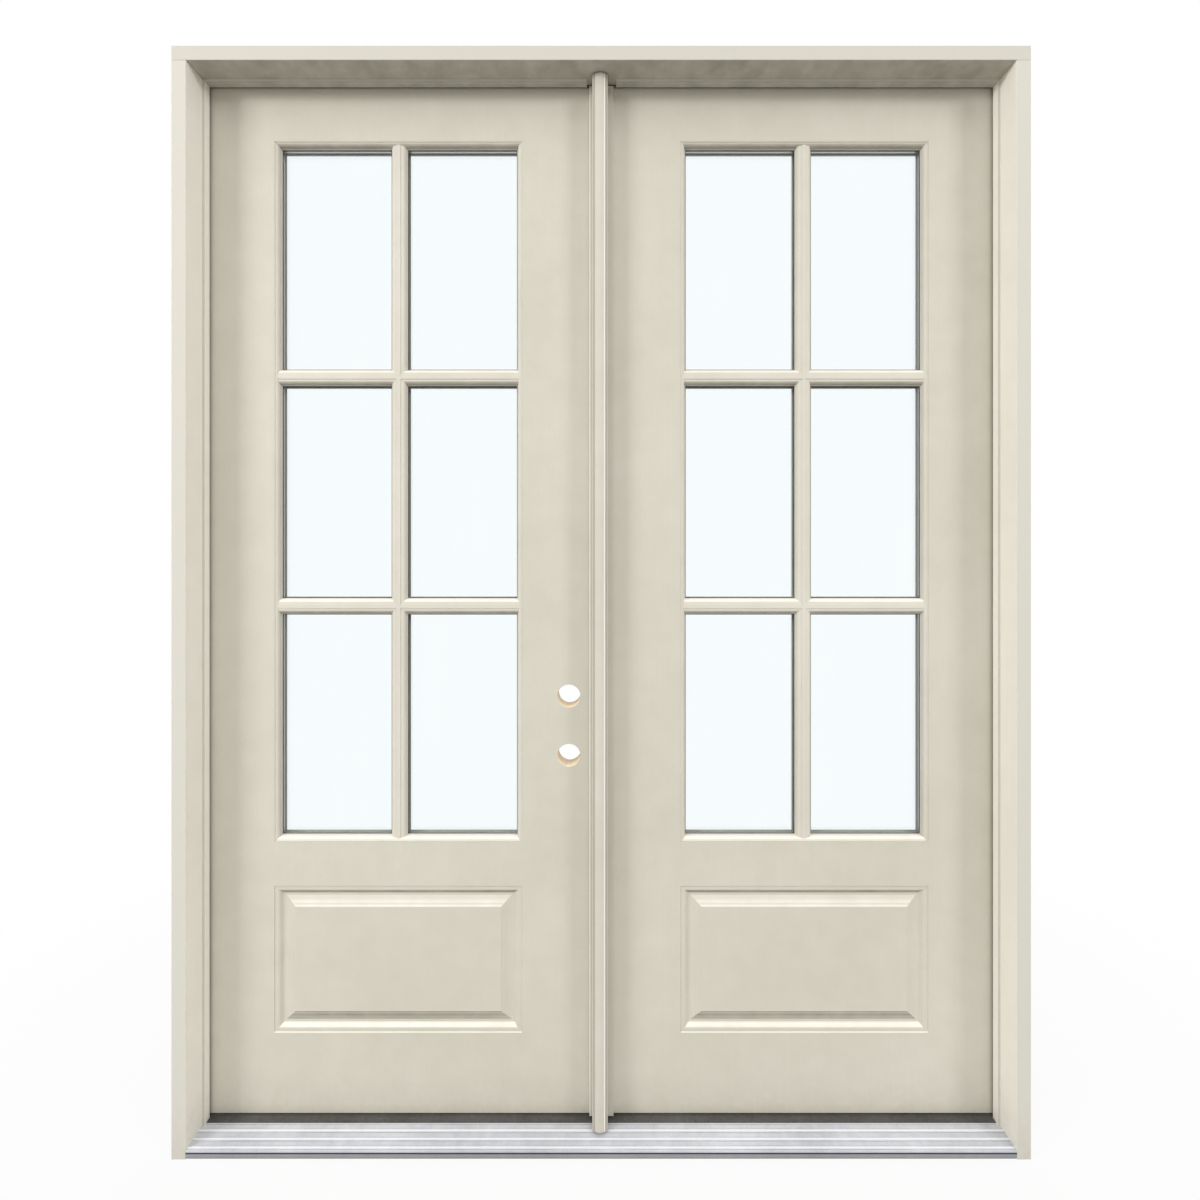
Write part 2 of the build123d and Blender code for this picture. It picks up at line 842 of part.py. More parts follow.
def bolt_plate(end):
    """Cover plate with the slot that the thumb piece slides in."""
    plate = fillet(bolt_plate_blank(end).edges().filter_by(Axis.X), bolt_plate_width / 4)
    half_y = bolt_stem_width / 2 + bolt_stem_gap
    stem_z = bolt_stem_z(end)
    reach = bolt_stem_height / 2 + bolt_stem_gap
    leg_x = leaf_clearance - meeting_x
    slot = block(
        leg_x - 1, bolt_x, bolt_y - half_y, bolt_y + half_y,
        stem_z - end * reach, stem_z + end * (reach + bolt_travel),
    )
    return plate - slot


def flush_bolt(end):
    """Round bolt with a chamfered tip and a thumb piece at its inner end."""
    tip = bolt_ends()[end]
    stem_z = bolt_stem_z(end)
    length = bolt_length + bolt_stem_height / 2
    rod = Cylinder(bolt_radius, length)
    tip_edge = rod.edges().group_by(Axis.Z)[-1 if end > 0 else 0]
    rod = Pos(bolt_x, bolt_y, tip - end * length / 2) * chamfer(tip_edge, bolt_radius / 3)
    leg_x = leaf_clearance - meeting_x
    half_y = bolt_stem_width / 2
    stem = block(
        leg_x + bolt_stem_gap, bolt_x, bolt_y - half_y, bolt_y + half_y,
        stem_z - bolt_stem_height / 2, stem_z + bolt_stem_height / 2,
    )
    return rod + stem


def astragal():
    """Astragal with the rooms for both bolts; its nose stops short of the head's seal and of the cap."""
    leg, front = astragal_section()
    body = upright(leg, leaf_foot, leaf_head) + upright(front, astragal_foot, nose_top)
    for end in (1, -1):
        body -= bolt_room(end)
    return body


def astragal_seal():
    """Foam strip behind the flange, just clear of the active leaf's face."""
    return block(
        -(meeting_x + flange_active_lap) + arris, -meeting_x,
        leaf_out_y - flange_seal_recess, leaf_out_y - seal_clear,
        astragal_foot, nose_top,
    )


def leaf_parts(name, side):
    """Every piece of one leaf, by node name."""
    outer_pane_y = leaf_out_y + glass_recess
    inner_pane_y = back_y - glass_recess - pane
    return {
        name + "_hinge_stile": hinge_stile(side),
        name + "_meeting_stile": meeting_stile(side),
        name + "_top_rail": rail(side, leaf_head - top_rail_height, leaf_head),
        name + "_bottom_rail": rail(side, leaf_foot, leaf_foot + bottom_rail_height),
        name + "_core": leaf_core(side),
        name + "_exterior_skin": leaf_skin(side, leaf_out_y, 1),
        name + "_interior_skin": leaf_skin(side, back_y, -1),
        name + "_exterior_light_frame": light_frame(side, leaf_out_y, 1),
        name + "_interior_light_frame": light_frame(side, back_y, -1),
        name + "_exterior_muntins": muntin_grid(side, leaf_out_y, 1),
        name + "_interior_muntins": muntin_grid(side, back_y, -1),
        name + "_outer_pane": glass_pane(side, outer_pane_y),
        name + "_inner_pane": glass_pane(side, inner_pane_y),
        name + "_glass_spacer": glass_spacer(side),
        name + "_door_sweep": door_sweep(side),
        name + "_hinge_leaves": leaf_hinge_leaves(side),
    }


def frame_parts():
    """Every piece that stays with the wall, by node name."""
    return {
        "left_jamb": side_jamb(-1),
        "right_jamb": side_jamb(1),
        "head_jamb": head_jamb(),
        "sill_base": sill_base(),
        "sill_deck": sill_deck(),
        "threshold_cap": threshold_cap(),
        "threshold_bolt_bush": threshold_bolt_bush(),
        "head_bolt_strike": head_bolt_strike(),
        "left_weatherstrip": side_weatherstrip(-1),
        "right_weatherstrip": side_weatherstrip(1),
        "head_weatherstrip": head_weatherstrip(),
        "corner_pads": corner_pads(),
        "left_jamb_hinge_leaves": jamb_hinge_leaves(-1),
        "right_jamb_hinge_leaves": jamb_hinge_leaves(1),
        "left_hinge_pins": hinge_pins(-1),
        "right_hinge_pins": hinge_pins(1),
    }


def astragal_parts():
    """Every piece of the astragal and its bolts, by node name."""
    return {
        "astragal": astragal(),
        "astragal_seal": astragal_seal(),
        "top_bolt_plate": bolt_plate(1),
        "bottom_bolt_plate": bolt_plate(-1),
        "top_flush_bolt": flush_bolt(1),
        "bottom_flush_bolt": flush_bolt(-1),
    }


os.makedirs("parts", exist_ok=True)
pieces = frame_parts()
pieces.update(leaf_parts("active", -1))
pieces.update(leaf_parts("passive", 1))
pieces["active_lock_block"] = lock_block_blank() - lock_bores()
pieces.update(astragal_parts())
for node, shape in pieces.items():
    export_step(shape, "parts/" + node + ".step")
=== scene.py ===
"""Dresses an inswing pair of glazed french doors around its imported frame.

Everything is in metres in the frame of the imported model: X along the wall, +Y from the outside to the room,
+Z up, and the origin at the middle of the frame's foot. The camera looks along +Y at the outside.
"""

import logging
import math
from dataclasses import dataclass, field
from enum import Enum
from typing import Dict, Optional, Sequence, Tuple

import bpy
import numpy as np
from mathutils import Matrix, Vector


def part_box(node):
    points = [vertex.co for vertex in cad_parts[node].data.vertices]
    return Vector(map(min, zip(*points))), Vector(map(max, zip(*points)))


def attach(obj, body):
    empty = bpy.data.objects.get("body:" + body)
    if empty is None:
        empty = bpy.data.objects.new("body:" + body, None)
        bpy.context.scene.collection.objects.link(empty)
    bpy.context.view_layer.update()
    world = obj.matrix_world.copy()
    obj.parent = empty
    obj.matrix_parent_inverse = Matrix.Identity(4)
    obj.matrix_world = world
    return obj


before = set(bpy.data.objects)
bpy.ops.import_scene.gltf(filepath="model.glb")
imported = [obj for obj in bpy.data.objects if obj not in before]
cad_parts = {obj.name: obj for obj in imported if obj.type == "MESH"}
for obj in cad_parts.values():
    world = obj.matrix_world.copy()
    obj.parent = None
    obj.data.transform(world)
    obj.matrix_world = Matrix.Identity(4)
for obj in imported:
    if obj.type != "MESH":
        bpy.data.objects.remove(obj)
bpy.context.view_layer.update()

LOG = logging.getLogger("french_doors")

Colour = Tuple[float, float, float]
Point = Tuple[float, float, float]
Socket = bpy.types.NodeSocket
MM = 0.001


class Run(Enum):
    """Direction that the grain, the brush lines or the drawing lines of a finish follow."""

    UPRIGHT = (0.0, 0.0, 1.0)
    LEVEL = (1.0, 0.0, 0.0)

    def squeeze(self, stretch: float) -> Tuple[float, float, float]:
        """Factors for a place that draw a pattern out along this direction."""
        return tuple(1.0 if part == 0.0 else stretch for part in self.value)


class Face(Enum):
    """Face of a leaf, with the sign of Y that points out of it."""

    EXTERIOR = -1
    INTERIOR = 1


class Leaf(Enum):
    """Leaf of the pair, with the sign of X on its side."""

    ACTIVE = -1
    PASSIVE = 1

    @property
    def word(self) -> str:
        """First word of the names of this leaf's nodes."""
        return self.name.lower()

    @property
    def body(self) -> str:
        """Name of the body that this leaf's pieces ride on."""
        return self.word + "_leaf"


def srgb(red: int, green: int, blue: int) -> Colour:
    """Turns an 8-bit display colour into a linear one.

    Args:
        red: Red from 0 to 255.
        green: Green from 0 to 255.
        blue: Blue from 0 to 255.

    Returns:
        The linear colour, each part from 0 to 1.
    """
    shares = np.array([red, green, blue]) / 255.0
    linear = np.where(shares <= 0.04045, shares / 12.92, ((shares + 0.055) / 1.055) ** 2.4)
    return tuple(float(part) for part in linear)


# Painted highlight: the pale tone laid on up-facing slopes in place of light from above.
TOP_LIGHT_TONE = srgb(241, 238, 229)
LOW_DUST = srgb(168, 158, 140)
LINE_SHADE = srgb(92, 84, 68)
# Painted highlight colour for the astragal's edge lines.
ARRIS_HIGHLIGHT = srgb(252, 250, 243)
HEAD_JOINT_Z = 2444.75 * MM
JAMB_FACE_X = 924.0 * MM
FRAME_TONES = (srgb(247, 244, 234), srgb(238, 234, 223))
# Painted shade: the head jamb's primer is a darker copy of the jambs', as under the head.
HEAD_SHADED_TONES = (srgb(226, 221, 208), srgb(216, 211, 197))
LITE_TONES = (srgb(219, 215, 203), srgb(209, 204, 191))
# Painted shade for the down-facing faces of the lite frames and muntins.
LITE_UNDER_SHADE = srgb(132, 126, 108)


class Net:
    """Short way to place and join shader nodes in one tree."""

    def __init__(self, tree: bpy.types.NodeTree) -> None:
        """Takes the tree to build in.

        Args:
            tree: Node tree of a material, a world or a group.
        """
        self.tree = tree

    def put(self, kind: str, feeds: Optional[dict] = None, **settings: object) -> bpy.types.Node:
        """Places a node, sets it up and joins what feeds it.

        Args:
            kind: Blender's identifier of the node.
            feeds: Values or sockets by input name or number.
            settings: Properties of the node itself.

        Returns:
            The new node.
        """
        node = self.tree.nodes.new(kind)
        for key, value in settings.items():
            setattr(node, key, value)
        for key, value in (feeds or {}).items():
            socket = node.inputs[key]
            if isinstance(value, bpy.types.NodeSocket):
                self.tree.links.new(value, socket)
            elif isinstance(value, tuple) and len(value) == 3 and socket.type == "RGBA":
                socket.default_value = (*value, 1.0)
            else:
                socket.default_value = value
        return node

    def calc(self, operation: str, *terms: object) -> Socket:
        """Places a Math node.

        Args:
            operation: Name of the operation, such as MULTIPLY.
            terms: Up to three numbers or sockets.

        Returns:
            The result's socket.
        """
        return self.put("ShaderNodeMath", dict(enumerate(terms)), operation=operation).outputs[0]

    def vector(self, operation: str, *terms: object) -> Sequence[Socket]:
        """Places a Vector Math node and hands out its vector and its value."""
        return self.put("ShaderNodeVectorMath", dict(enumerate(terms)), operation=operation).outputs

    def axes(self, vector: Socket) -> Sequence[Socket]:
        """Splits a vector into X, Y and Z."""
        return self.put("ShaderNodeSeparateXYZ", {0: vector}).outputs

    def off(self, value: Socket, middle: object) -> Socket:
        """Works out how far a value is from a middle, on either side."""
        return self.calc("ABSOLUTE", self.calc("SUBTRACT", value, middle))

    def coat(self, surface: bpy.types.Node, tone: Socket, rough: Socket,
             normal: Optional[Socket] = None) -> None:
        """Joins the tone, the roughness and the relief of a finish to its shader.

        Args:
            surface: Principled shader to feed.
            tone: Colour of the surface.
            rough: Its roughness.
            normal: Its bent normal, or None where it is smooth.
        """
        for name, value in (("Base Color", tone), ("Roughness", rough), ("Normal", normal)):
            if value is not None:
                self.tree.links.new(value, surface.inputs[name])

    def spread(self, value: Socket, low: float, high: float, to_low: float, to_high: float) -> Socket:
        """Maps a value from one range to another, clamped.

        Args:
            value: Socket to map.
            low: Value that becomes to_low.
            high: Value that becomes to_high.
            to_low: Result at low.
            to_high: Result at high.

        Returns:
            The result's socket.
        """
        feeds = {0: value, 1: low, 2: high, 3: to_low, 4: to_high}
        return self.put("ShaderNodeMapRange", feeds).outputs[0]

    def mix(self, share: object, first: object, second: object) -> Socket:
        """Mixes two colours or sockets, by the share of the second one."""
        feeds = {0: share, 6: first, 7: second}
        return self.put("ShaderNodeMix", feeds, data_type="RGBA").outputs[2]

    def blend(self, mask: Socket, strength: object, first: object, second: object) -> Socket:
        """Mixes a second colour in where the mask is, by a strength."""
        return self.mix(self.calc("MULTIPLY", mask, strength), first, second)

    def noise(self, vector: Socket, scale: object, detail: float = 2.0, rough: float = 0.5) -> Socket:
        """Places a noise texture.

        Args:
            vector: Place that the noise is read at.
            scale: Number of features to a unit of the vector.
            detail: Number of octaves.
            rough: Share of each next octave.

        Returns:
            The noise value's socket.
        """
        feeds = {"Vector": vector, "Scale": scale, "Detail": detail, "Roughness": rough}
        return self.put("ShaderNodeTexNoise", feeds).outputs[0]


class Effects:
    """Shader node groups that several finishes share, each built once."""

    def __init__(self) -> None:
        """Starts with no group built."""
        self.groups: Dict[str, bpy.types.NodeTree] = {}

    def shell(self, name: str, inputs: Sequence[Tuple[str, str, object]],
              outputs: Sequence[Tuple[str, str]]) -> Net:
        """Starts a group with its named sockets.

        Args:
            name: Name of the group.
            inputs: Name, socket type and default value of each input.
            outputs: Name and socket type of each output.

        Returns:
            A net over the new group.
        """
        tree = bpy.data.node_groups.new(name, "ShaderNodeTree")
        for label, kind, value in inputs:
            socket = tree.interface.new_socket(label, in_out="INPUT", socket_type=kind)
            if value is not None:
                socket.default_value = value
        for label, kind in outputs:
            tree.interface.new_socket(label, in_out="OUTPUT", socket_type=kind)
        self.groups[name] = tree
        return Net(tree)

    def use(self, net: Net, name: str, feeds: dict) -> bpy.types.Node:
        """Places one of the groups in a material.

        Args:
            net: Net over the material's tree.
            name: Name of the group.
            feeds: Values or sockets by input name.

        Returns:
            The group's node.
        """
        if name not in self.groups:
            getattr(self, name)()
        return net.put("ShaderNodeGroup", feeds, node_tree=self.groups[name])

    def cloud(self, net: Net, place: Socket, scale: float, finish: "Finish") -> bpy.types.Node:
        """Places the mottle group between the two tones of a finish."""
        feeds = {"Vector": place, "Scale": scale, "Light": finish.light, "Dark": finish.dark}
        return self.use(net, "mottle", feeds)

    def drawn(self, net: Net, place: Socket, squeeze: Point, scale: float) -> Socket:
        """Places the streaks group, with lines along the axis that the squeeze makes short."""
        feeds = {"Vector": place, "Squeeze": squeeze, "Scale": scale}
        return self.use(net, "streaks", feeds).outputs[0]

    def mottle(self) -> None:
        """Builds soft cloudy changes of tone: three noises of different size, blended between two tones."""
        net = self.shell(
            "mottle",
            [("Vector", "NodeSocketVector", None), ("Scale", "NodeSocketFloat", 3.0),
             ("Light", "NodeSocketColor", (1, 1, 1, 1)), ("Dark", "NodeSocketColor", (0.8, 0.8, 0.8, 1))],
            [("Color", "NodeSocketColor"), ("Value", "NodeSocketFloat")],
        )
        feed = net.put("NodeGroupInput").outputs
        wide = net.noise(feed[0], feed[1], 3.0)
        close = net.calc("MULTIPLY", feed[1], 9.0)
        near = net.noise(feed[0], close, 2.0)
        fine = net.noise(feed[0], 420.0, 2.0)
        both = net.calc("ADD", net.calc("MULTIPLY", wide, 0.5), net.calc("MULTIPLY", near, 0.25))
        both = net.calc("ADD", both, net.calc("MULTIPLY", fine, 0.25))
        value = net.spread(both, 0.36, 0.64, 0.0, 1.0)
        tone = net.mix(value, feed[3], feed[2])
        net.put("NodeGroupOutput", {0: tone, 1: value})

    def stipple(self) -> None:
        """Builds the fine skin of rolled or sprayed primer: a 1.6 mm ripple under 0.5 mm grit."""
        net = self.shell(
            "stipple", [("Vector", "NodeSocketVector", None), ("Grit", "NodeSocketFloat", 0.5)],
            [("Height", "NodeSocketFloat")],
        )
        feed = net.put("NodeGroupInput").outputs
        ripple = net.noise(feed[0], 620.0, 2.0)
        grit = net.noise(feed[0], 1900.0, 1.0)
        net.put("NodeGroupOutput", {0: net.calc("ADD", ripple, net.calc("MULTIPLY", grit, feed[1]))})

    def streaks(self) -> None:
        """Builds lines along one direction: noise read at a place squeezed along the run."""
        net = self.shell(
            "streaks",
            [("Vector", "NodeSocketVector", None), ("Squeeze", "NodeSocketVector", (1.0, 1.0, 0.01)),
             ("Scale", "NodeSocketFloat", 400.0)],
            [("Value", "NodeSocketFloat")],
        )
        feed = net.put("NodeGroupInput").outputs
        place = net.vector("MULTIPLY", feed[0], feed[1])[0]
        lines = net.noise(place, feed[2], 3.0)
        net.put("NodeGroupOutput", {0: net.spread(lines, 0.3, 0.7, 0.0, 1.0)})

    def slope_light(self) -> None:
        """Builds painted light on sloped mouldings: a painted highlight on what faces up, painted shade on
        what faces down, both broken up by noise.
        """
        net = self.shell(
            "slope_light",
            [("Color", "NodeSocketColor", (0.8, 0.8, 0.8, 1)), ("Vector", "NodeSocketVector", None),
             ("Up", "NodeSocketFloat", 0.0), ("Pale", "NodeSocketColor", (0.9, 0.9, 0.9, 1)),
             ("Grime", "NodeSocketColor", (0.3, 0.3, 0.3, 1))],
            [("Color", "NodeSocketColor")],
        )
        feed = net.put("NodeGroupInput").outputs
        patchy = net.spread(net.noise(feed[1], 26.0, 3.0), 0.3, 0.7, 0.45, 0.7)
        above = net.calc("MULTIPLY", net.spread(feed[2], 0.06, 0.4, 0.0, 1.0), patchy)
        below = net.calc("MULTIPLY", net.spread(feed[2], -0.05, -0.3, 0.0, 1.0), patchy)
        top_lit = net.mix(above, feed[0], feed[3])
        under_shaded = net.blend(below, 0.85, top_lit, feed[4])
        net.put("NodeGroupOutput", {0: under_shaded})

    def dust(self) -> None:
        """Builds the dirt that settles low down: a height ramp broken up by noise."""
        net = self.shell(
            "dust",
            [("Vector", "NodeSocketVector", None), ("Top", "NodeSocketFloat", 0.25)],
            [("Mask", "NodeSocketFloat")],
        )
        feed = net.put("NodeGroupInput").outputs
        up = net.axes(feed[0])[2]
        ramp = net.calc("SUBTRACT", 1.0, net.calc("DIVIDE", up, feed[1]))
        broken = net.calc("MULTIPLY", ramp, net.noise(feed[0], 55.0, 4.0, 0.65))
        net.put("NodeGroupOutput", {0: net.spread(broken, 0.1, 0.8, 0.0, 1.0)})


EFFECTS = Effects()


@dataclass(frozen=True)
class Finish:
    """Base of every finish: the material's name and the slot of the record that it belongs to."""

    name: str
    slot: str

    def material(self) -> bpy.types.Material:
        """Builds the material once and hands out the same one after that.

        Returns:
            The finish as a material.
        """
        found = bpy.data.materials.get(self.name)
        if found is not None:
            return found
        made = bpy.data.materials.new(self.name)
        made.use_nodes = True
        made.node_tree.nodes.clear()
        net = Net(made.node_tree)
        place = net.put("ShaderNodeTexCoord").outputs["Object"]
        surface = net.put("ShaderNodeBsdfPrincipled")
        self.paint(net, place, surface)
        net.put("ShaderNodeOutputMaterial", {0: self.shaded(net, surface)})
        return made

    def shaded(self, net: Net, surface: bpy.types.Node) -> Socket:
        """Hands out the shader for the output, which most finishes leave as it is."""
        return surface.outputs[0]

    def paint(self, net: Net, place: Socket, surface: bpy.types.Node) -> None:
        """Joins the finish's pattern to the shader. Each finish has its own.

        Args:
            net: Net over the material's tree.
            place: Object coordinates.
            surface: Principled shader to feed.
        """
        raise NotImplementedError


def bump(net: Net, height: Socket, distance: float, strength: float = 1.0) -> Socket:
    """Places a Bump node.

    Args:
        net: Net over the material's tree.
        height: Height from 0 to 1.
        distance: Depth that a height of 1 stands for, in metres.
        strength: Strength of the effect.

    Returns:
        The normal's socket.
    """
    feeds = {"Height": height, "Distance": distance, "Strength": strength}
    return net.put("ShaderNodeBump", feeds).outputs[0]


@dataclass(frozen=True)
class Primer(Finish):
    """Matt factory primer over a moulded skin or a milled wood profile."""

    light: Colour = srgb(212, 208, 195)
    dark: Colour = srgb(201, 197, 182)
    run: Run = Run.UPRIGHT
    grain: float = 0.25
    roughness: float = 0.52
    # Painted shade tone for faces that look out towards the camera.
    front_shade: Optional[Colour] = None
    # Painted shade tone for down-facing faces, and for the astragal's flange beside the nose.
    grime: Colour = srgb(104, 98, 82)
    joint_z: float = 0.0
    mitres: bool = False
    grooves: Tuple[float, ...] = ()
    groove_half: float = 0.3 * MM
    highlit_edges: Tuple[float, ...] = ()
    highlight_half: float = 0.9 * MM
    soft_edge: float = 0.6 * MM
    cloud_scale: float = 2.2
    grain_scale: float = 330.0
    stretch: float = 0.012
    dust_top: float = 0.16

    def paint(self, net: Net, place: Socket, surface: bpy.types.Node) -> None:
        """Mottled tone, faint grain, sprayed stipple, dust low down, painted light and shade, and the piece's
        joint lines.

        Args:
            net: Net over the material's tree.
            place: Object coordinates.
            surface: Principled shader to feed.
        """
        tone = EFFECTS.cloud(net, place, self.cloud_scale, self)
        grain = EFFECTS.drawn(net, place, self.run.squeeze(self.stretch), self.grain_scale)
        shade = net.blend(grain, self.grain, tone.outputs[0], self.dark)
        _, out, up = net.axes(net.put("ShaderNodeTexCoord").outputs["Normal"])
        if self.highlit_edges:
            across, depth, _ = net.axes(place)
            # Painted shade: the flange beside the nose is darkened, as in the nose's shadow.
            shade = net.mix(net.spread(depth, -4.0 * MM, 2.0 * MM, 0.0, 0.14), shade, self.grime)
            # Painted highlight: bright lines along the flange's edge and the nose's corner.
            shade = net.mix(self.near(net, across, self.highlit_edges, self.highlight_half), shade, ARRIS_HIGHLIGHT)
        # Painted shade: faces that look out towards the camera are darkened, as they are lit less than the
        # reveals.
        if self.front_shade is not None:
            shade = net.mix(net.spread(out, -0.9, -0.6, 0.85, 0.0), shade, self.front_shade)
        dust = EFFECTS.use(net, "dust", {"Vector": place, "Top": self.dust_top}).outputs[0]
        shade = net.blend(dust, 0.35, shade, LOW_DUST)
        # Painted light and shade by the normal: up-facing slopes paler, down-facing slopes darker.
        feeds = {"Color": shade, "Vector": place, "Up": up, "Pale": TOP_LIGHT_TONE, "Grime": self.grime}
        shade = EFFECTS.use(net, "slope_light", feeds).outputs[0]
        stipple = EFFECTS.use(net, "stipple", {"Vector": place, "Grit": 0.4}).outputs[0]
        ripple = net.calc("MULTIPLY", stipple, 0.6)
        height = net.calc("ADD", ripple, net.calc("MULTIPLY", grain, self.grain))
        line = self.lines(net, place)
        if line is not None:
            shade = net.blend(line, 0.75, shade, LINE_SHADE)
            height = net.calc("SUBTRACT", height, net.calc("MULTIPLY", line, 4.0))
        rough = net.spread(tone.outputs[1], 0.0, 1.0, self.roughness - 0.05, self.roughness + 0.06)
        net.coat(surface, shade, rough, bump(net, height, 0.05 * MM, 0.6))

    def lines(self, net: Net, place: Socket) -> Optional[Socket]:
        """Hairlines: the joint between head and jambs, the mitres of the lite frames, or milled grooves.

        Args:
            net: Net over the material's tree.
            place: Object coordinates.

        Returns:
            A mask that is 1 on a line, or None where the finish has none.
        """
        across, _, up = net.axes(place)
        if self.joint_z:
            off = net.off(up, self.joint_z)
            side = net.calc("ABSOLUTE", across)
            over_jamb = net.spread(side, JAMB_FACE_X - 0.4 * MM, JAMB_FACE_X + 0.4 * MM, 0.0, 1.0)
            return net.calc("MULTIPLY", net.spread(off, 0.2 * MM, 0.6 * MM, 1.0, 0.0), over_jamb)
        if self.mitres:
            low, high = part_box("passive_exterior_light_frame")
            middle_x, middle_z = (low.x + high.x) / 2, (low.z + high.z) / 2
            half_x, half_z = (high.x - low.x) / 2, (high.z - low.z) / 2
            side = net.calc("SUBTRACT", net.off(net.calc("ABSOLUTE", across), middle_x), half_x)
            rise = net.calc("SUBTRACT", net.off(up, middle_z), half_z)
            return net.spread(net.off(side, rise), 0.15 * MM, 0.4 * MM, 1.0, 0.0)
        return self.near(net, across, self.grooves, self.groove_half) if self.grooves else None

    def near(self, net: Net, value: Socket, places: Sequence[float], half: float) -> Socket:
        """Masks the narrow bands round several values.

        Args:
            net: Net over the material's tree.
            value: Coordinate to compare.
            places: Middles of the bands.
            half: Half the width of a band.

        Returns:
            A mask that is 1 on the bands.
        """
        total = None
        for middle in places:
            mask = net.spread(net.off(value, middle), half, half + self.soft_edge, 1.0, 0.0)
            total = mask if total is None else net.calc("MAXIMUM", total, mask)
        return total


@dataclass(frozen=True)
class DrawnAluminium(Finish):
    """Mill-finish extrusion with drawing lines along it, dulled and scuffed by feet."""

    light: Colour = srgb(219, 222, 230)
    dark: Colour = srgb(182, 185, 194)
    # Painted shade tone for the face under the nose.
    grime: Colour = srgb(96, 95, 92)
    nose_z: float = 14.2 * MM
    ridge_y: float = -52.45 * MM
    pitch: float = 16.5 * MM
    dirt: Colour = srgb(146, 148, 156)
    rubbed: Colour = srgb(252, 253, 255)
    shadow: Colour = srgb(24, 24, 25)
    fine_scale: float = 1500.0
    broad_scale: float = 260.0
    cloud_scale: float = 5.0

    def paint(self, net: Net, place: Socket, surface: bpy.types.Node) -> None:
        """Fine level lines, dull patches, rubbed ridges beside dirt, painted shade on the face under the
        nose, and painted shadow lines under the nose and at the foot.

        Args:
            net: Net over the material's tree.
            place: Object coordinates.
            surface: Principled shader to feed.
        """
        fine = EFFECTS.drawn(net, place, (0.006, 1.0, 1.0), self.fine_scale)
        broad = EFFECTS.drawn(net, place, (0.02, 1.0, 1.0), self.broad_scale)
        lines = net.calc("ADD", net.calc("MULTIPLY", fine, 0.45), net.calc("MULTIPLY", broad, 0.55))
        patch = EFFECTS.cloud(net, place, self.cloud_scale, self)
        tone = net.blend(lines, 0.4, patch.outputs[0], self.dark)
        _, depth, up = net.axes(place)
        turn = net.calc("SUBTRACT", depth, self.ridge_y - 2.5 * self.pitch)
        off = net.off(net.calc("MODULO", turn, self.pitch), self.pitch / 2)
        crown = net.spread(off, 1.3 * MM, 2.6 * MM, 1.0, 0.0)
        edge = net.spread(net.off(off, 3.6 * MM), 0.3 * MM, 1.0 * MM, 1.0, 0.0)
        tone = net.blend(crown, 0.65, tone, self.rubbed)
        tone = net.mix(net.calc("MULTIPLY", edge, net.spread(lines, 0.3, 0.7, 0.3, 0.75)), tone, self.dirt)
        # Painted shade on the face under the nose, and painted shadow lines under the nose and at the foot.
        under = net.spread(up, self.nose_z - 0.6 * MM, self.nose_z + 0.6 * MM, 1.0, 0.0)
        line = net.spread(net.off(up, self.nose_z - 1.0 * MM), 1.4 * MM, 2.2 * MM, 1.0, 0.0)
        foot = net.spread(up, 1.0 * MM, 2.4 * MM, 1.0, 0.0)
        tone = net.blend(under, 0.6, tone, self.grime)
        tone = net.blend(net.calc("MAXIMUM", line, foot), 0.95, tone, self.shadow)
        surface.inputs["Metallic"].default_value = 0.3
        rough = net.calc("ADD", 0.36, net.calc("MULTIPLY", net.calc("ADD", patch.outputs[1], lines), 0.1))
        net.coat(surface, tone, rough, bump(net, lines, 0.06 * MM, 0.5))


@dataclass(frozen=True)
class SatinSteel(Finish):
    """Satin steel with brush lines along its run."""

    light: Colour = srgb(190, 188, 182)
    dark: Colour = srgb(140, 138, 132)
    run: Run = Run.UPRIGHT
    roughness: float = 0.34
    stretch: float = 0.02
    line_scale: float = 2400.0
    cloud_scale: float = 30.0

    def paint(self, net: Net, place: Socket, surface: bpy.types.Node) -> None:
        """Brush lines in tone, gloss and height over a faint mottle.

        Args:
            net: Net over the material's tree.
            place: Object coordinates.
            surface: Principled shader to feed.
        """
        lines = EFFECTS.drawn(net, place, self.run.squeeze(self.stretch), self.line_scale)
        patch = EFFECTS.cloud(net, place, self.cloud_scale, self)
        tone = net.blend(lines, 0.5, patch.outputs[0], self.dark)
        surface.inputs["Metallic"].default_value = 1.0
        rough = net.spread(lines, 0.0, 1.0, self.roughness - 0.05, self.roughness + 0.1)
        net.coat(surface, tone, rough, bump(net, lines, 0.02 * MM, 0.4))


@dataclass(frozen=True)
class SoftSeal(Finish):
    """Vinyl or foam of a seal: matt, with fine pores and dust in them."""

    light: Colour = srgb(84, 76, 62)
    dark: Colour = srgb(52, 46, 37)
    pore: float = 700.0
    roughness: float = 0.7

    def paint(self, net: Net, place: Socket, surface: bpy.types.Node) -> None:
        """Cells of a Voronoi texture as pores, and a mottled tone.

        Args:
            net: Net over the material's tree.
            place: Object coordinates.
            surface: Principled shader to feed.
        """
        cells = net.put("ShaderNodeTexVoronoi", {"Vector": place, "Scale": self.pore}).outputs[0]
        patch = EFFECTS.cloud(net, place, 14.0, self)
        tone = net.mix(net.spread(cells, 0.05, 0.45, 0.6, 0.0), patch.outputs[0], self.dark)
        rough = net.spread(cells, 0.0, 0.6, self.roughness + 0.12, self.roughness - 0.06)
        net.coat(surface, tone, rough, bump(net, cells, 0.15 * MM, 0.5))


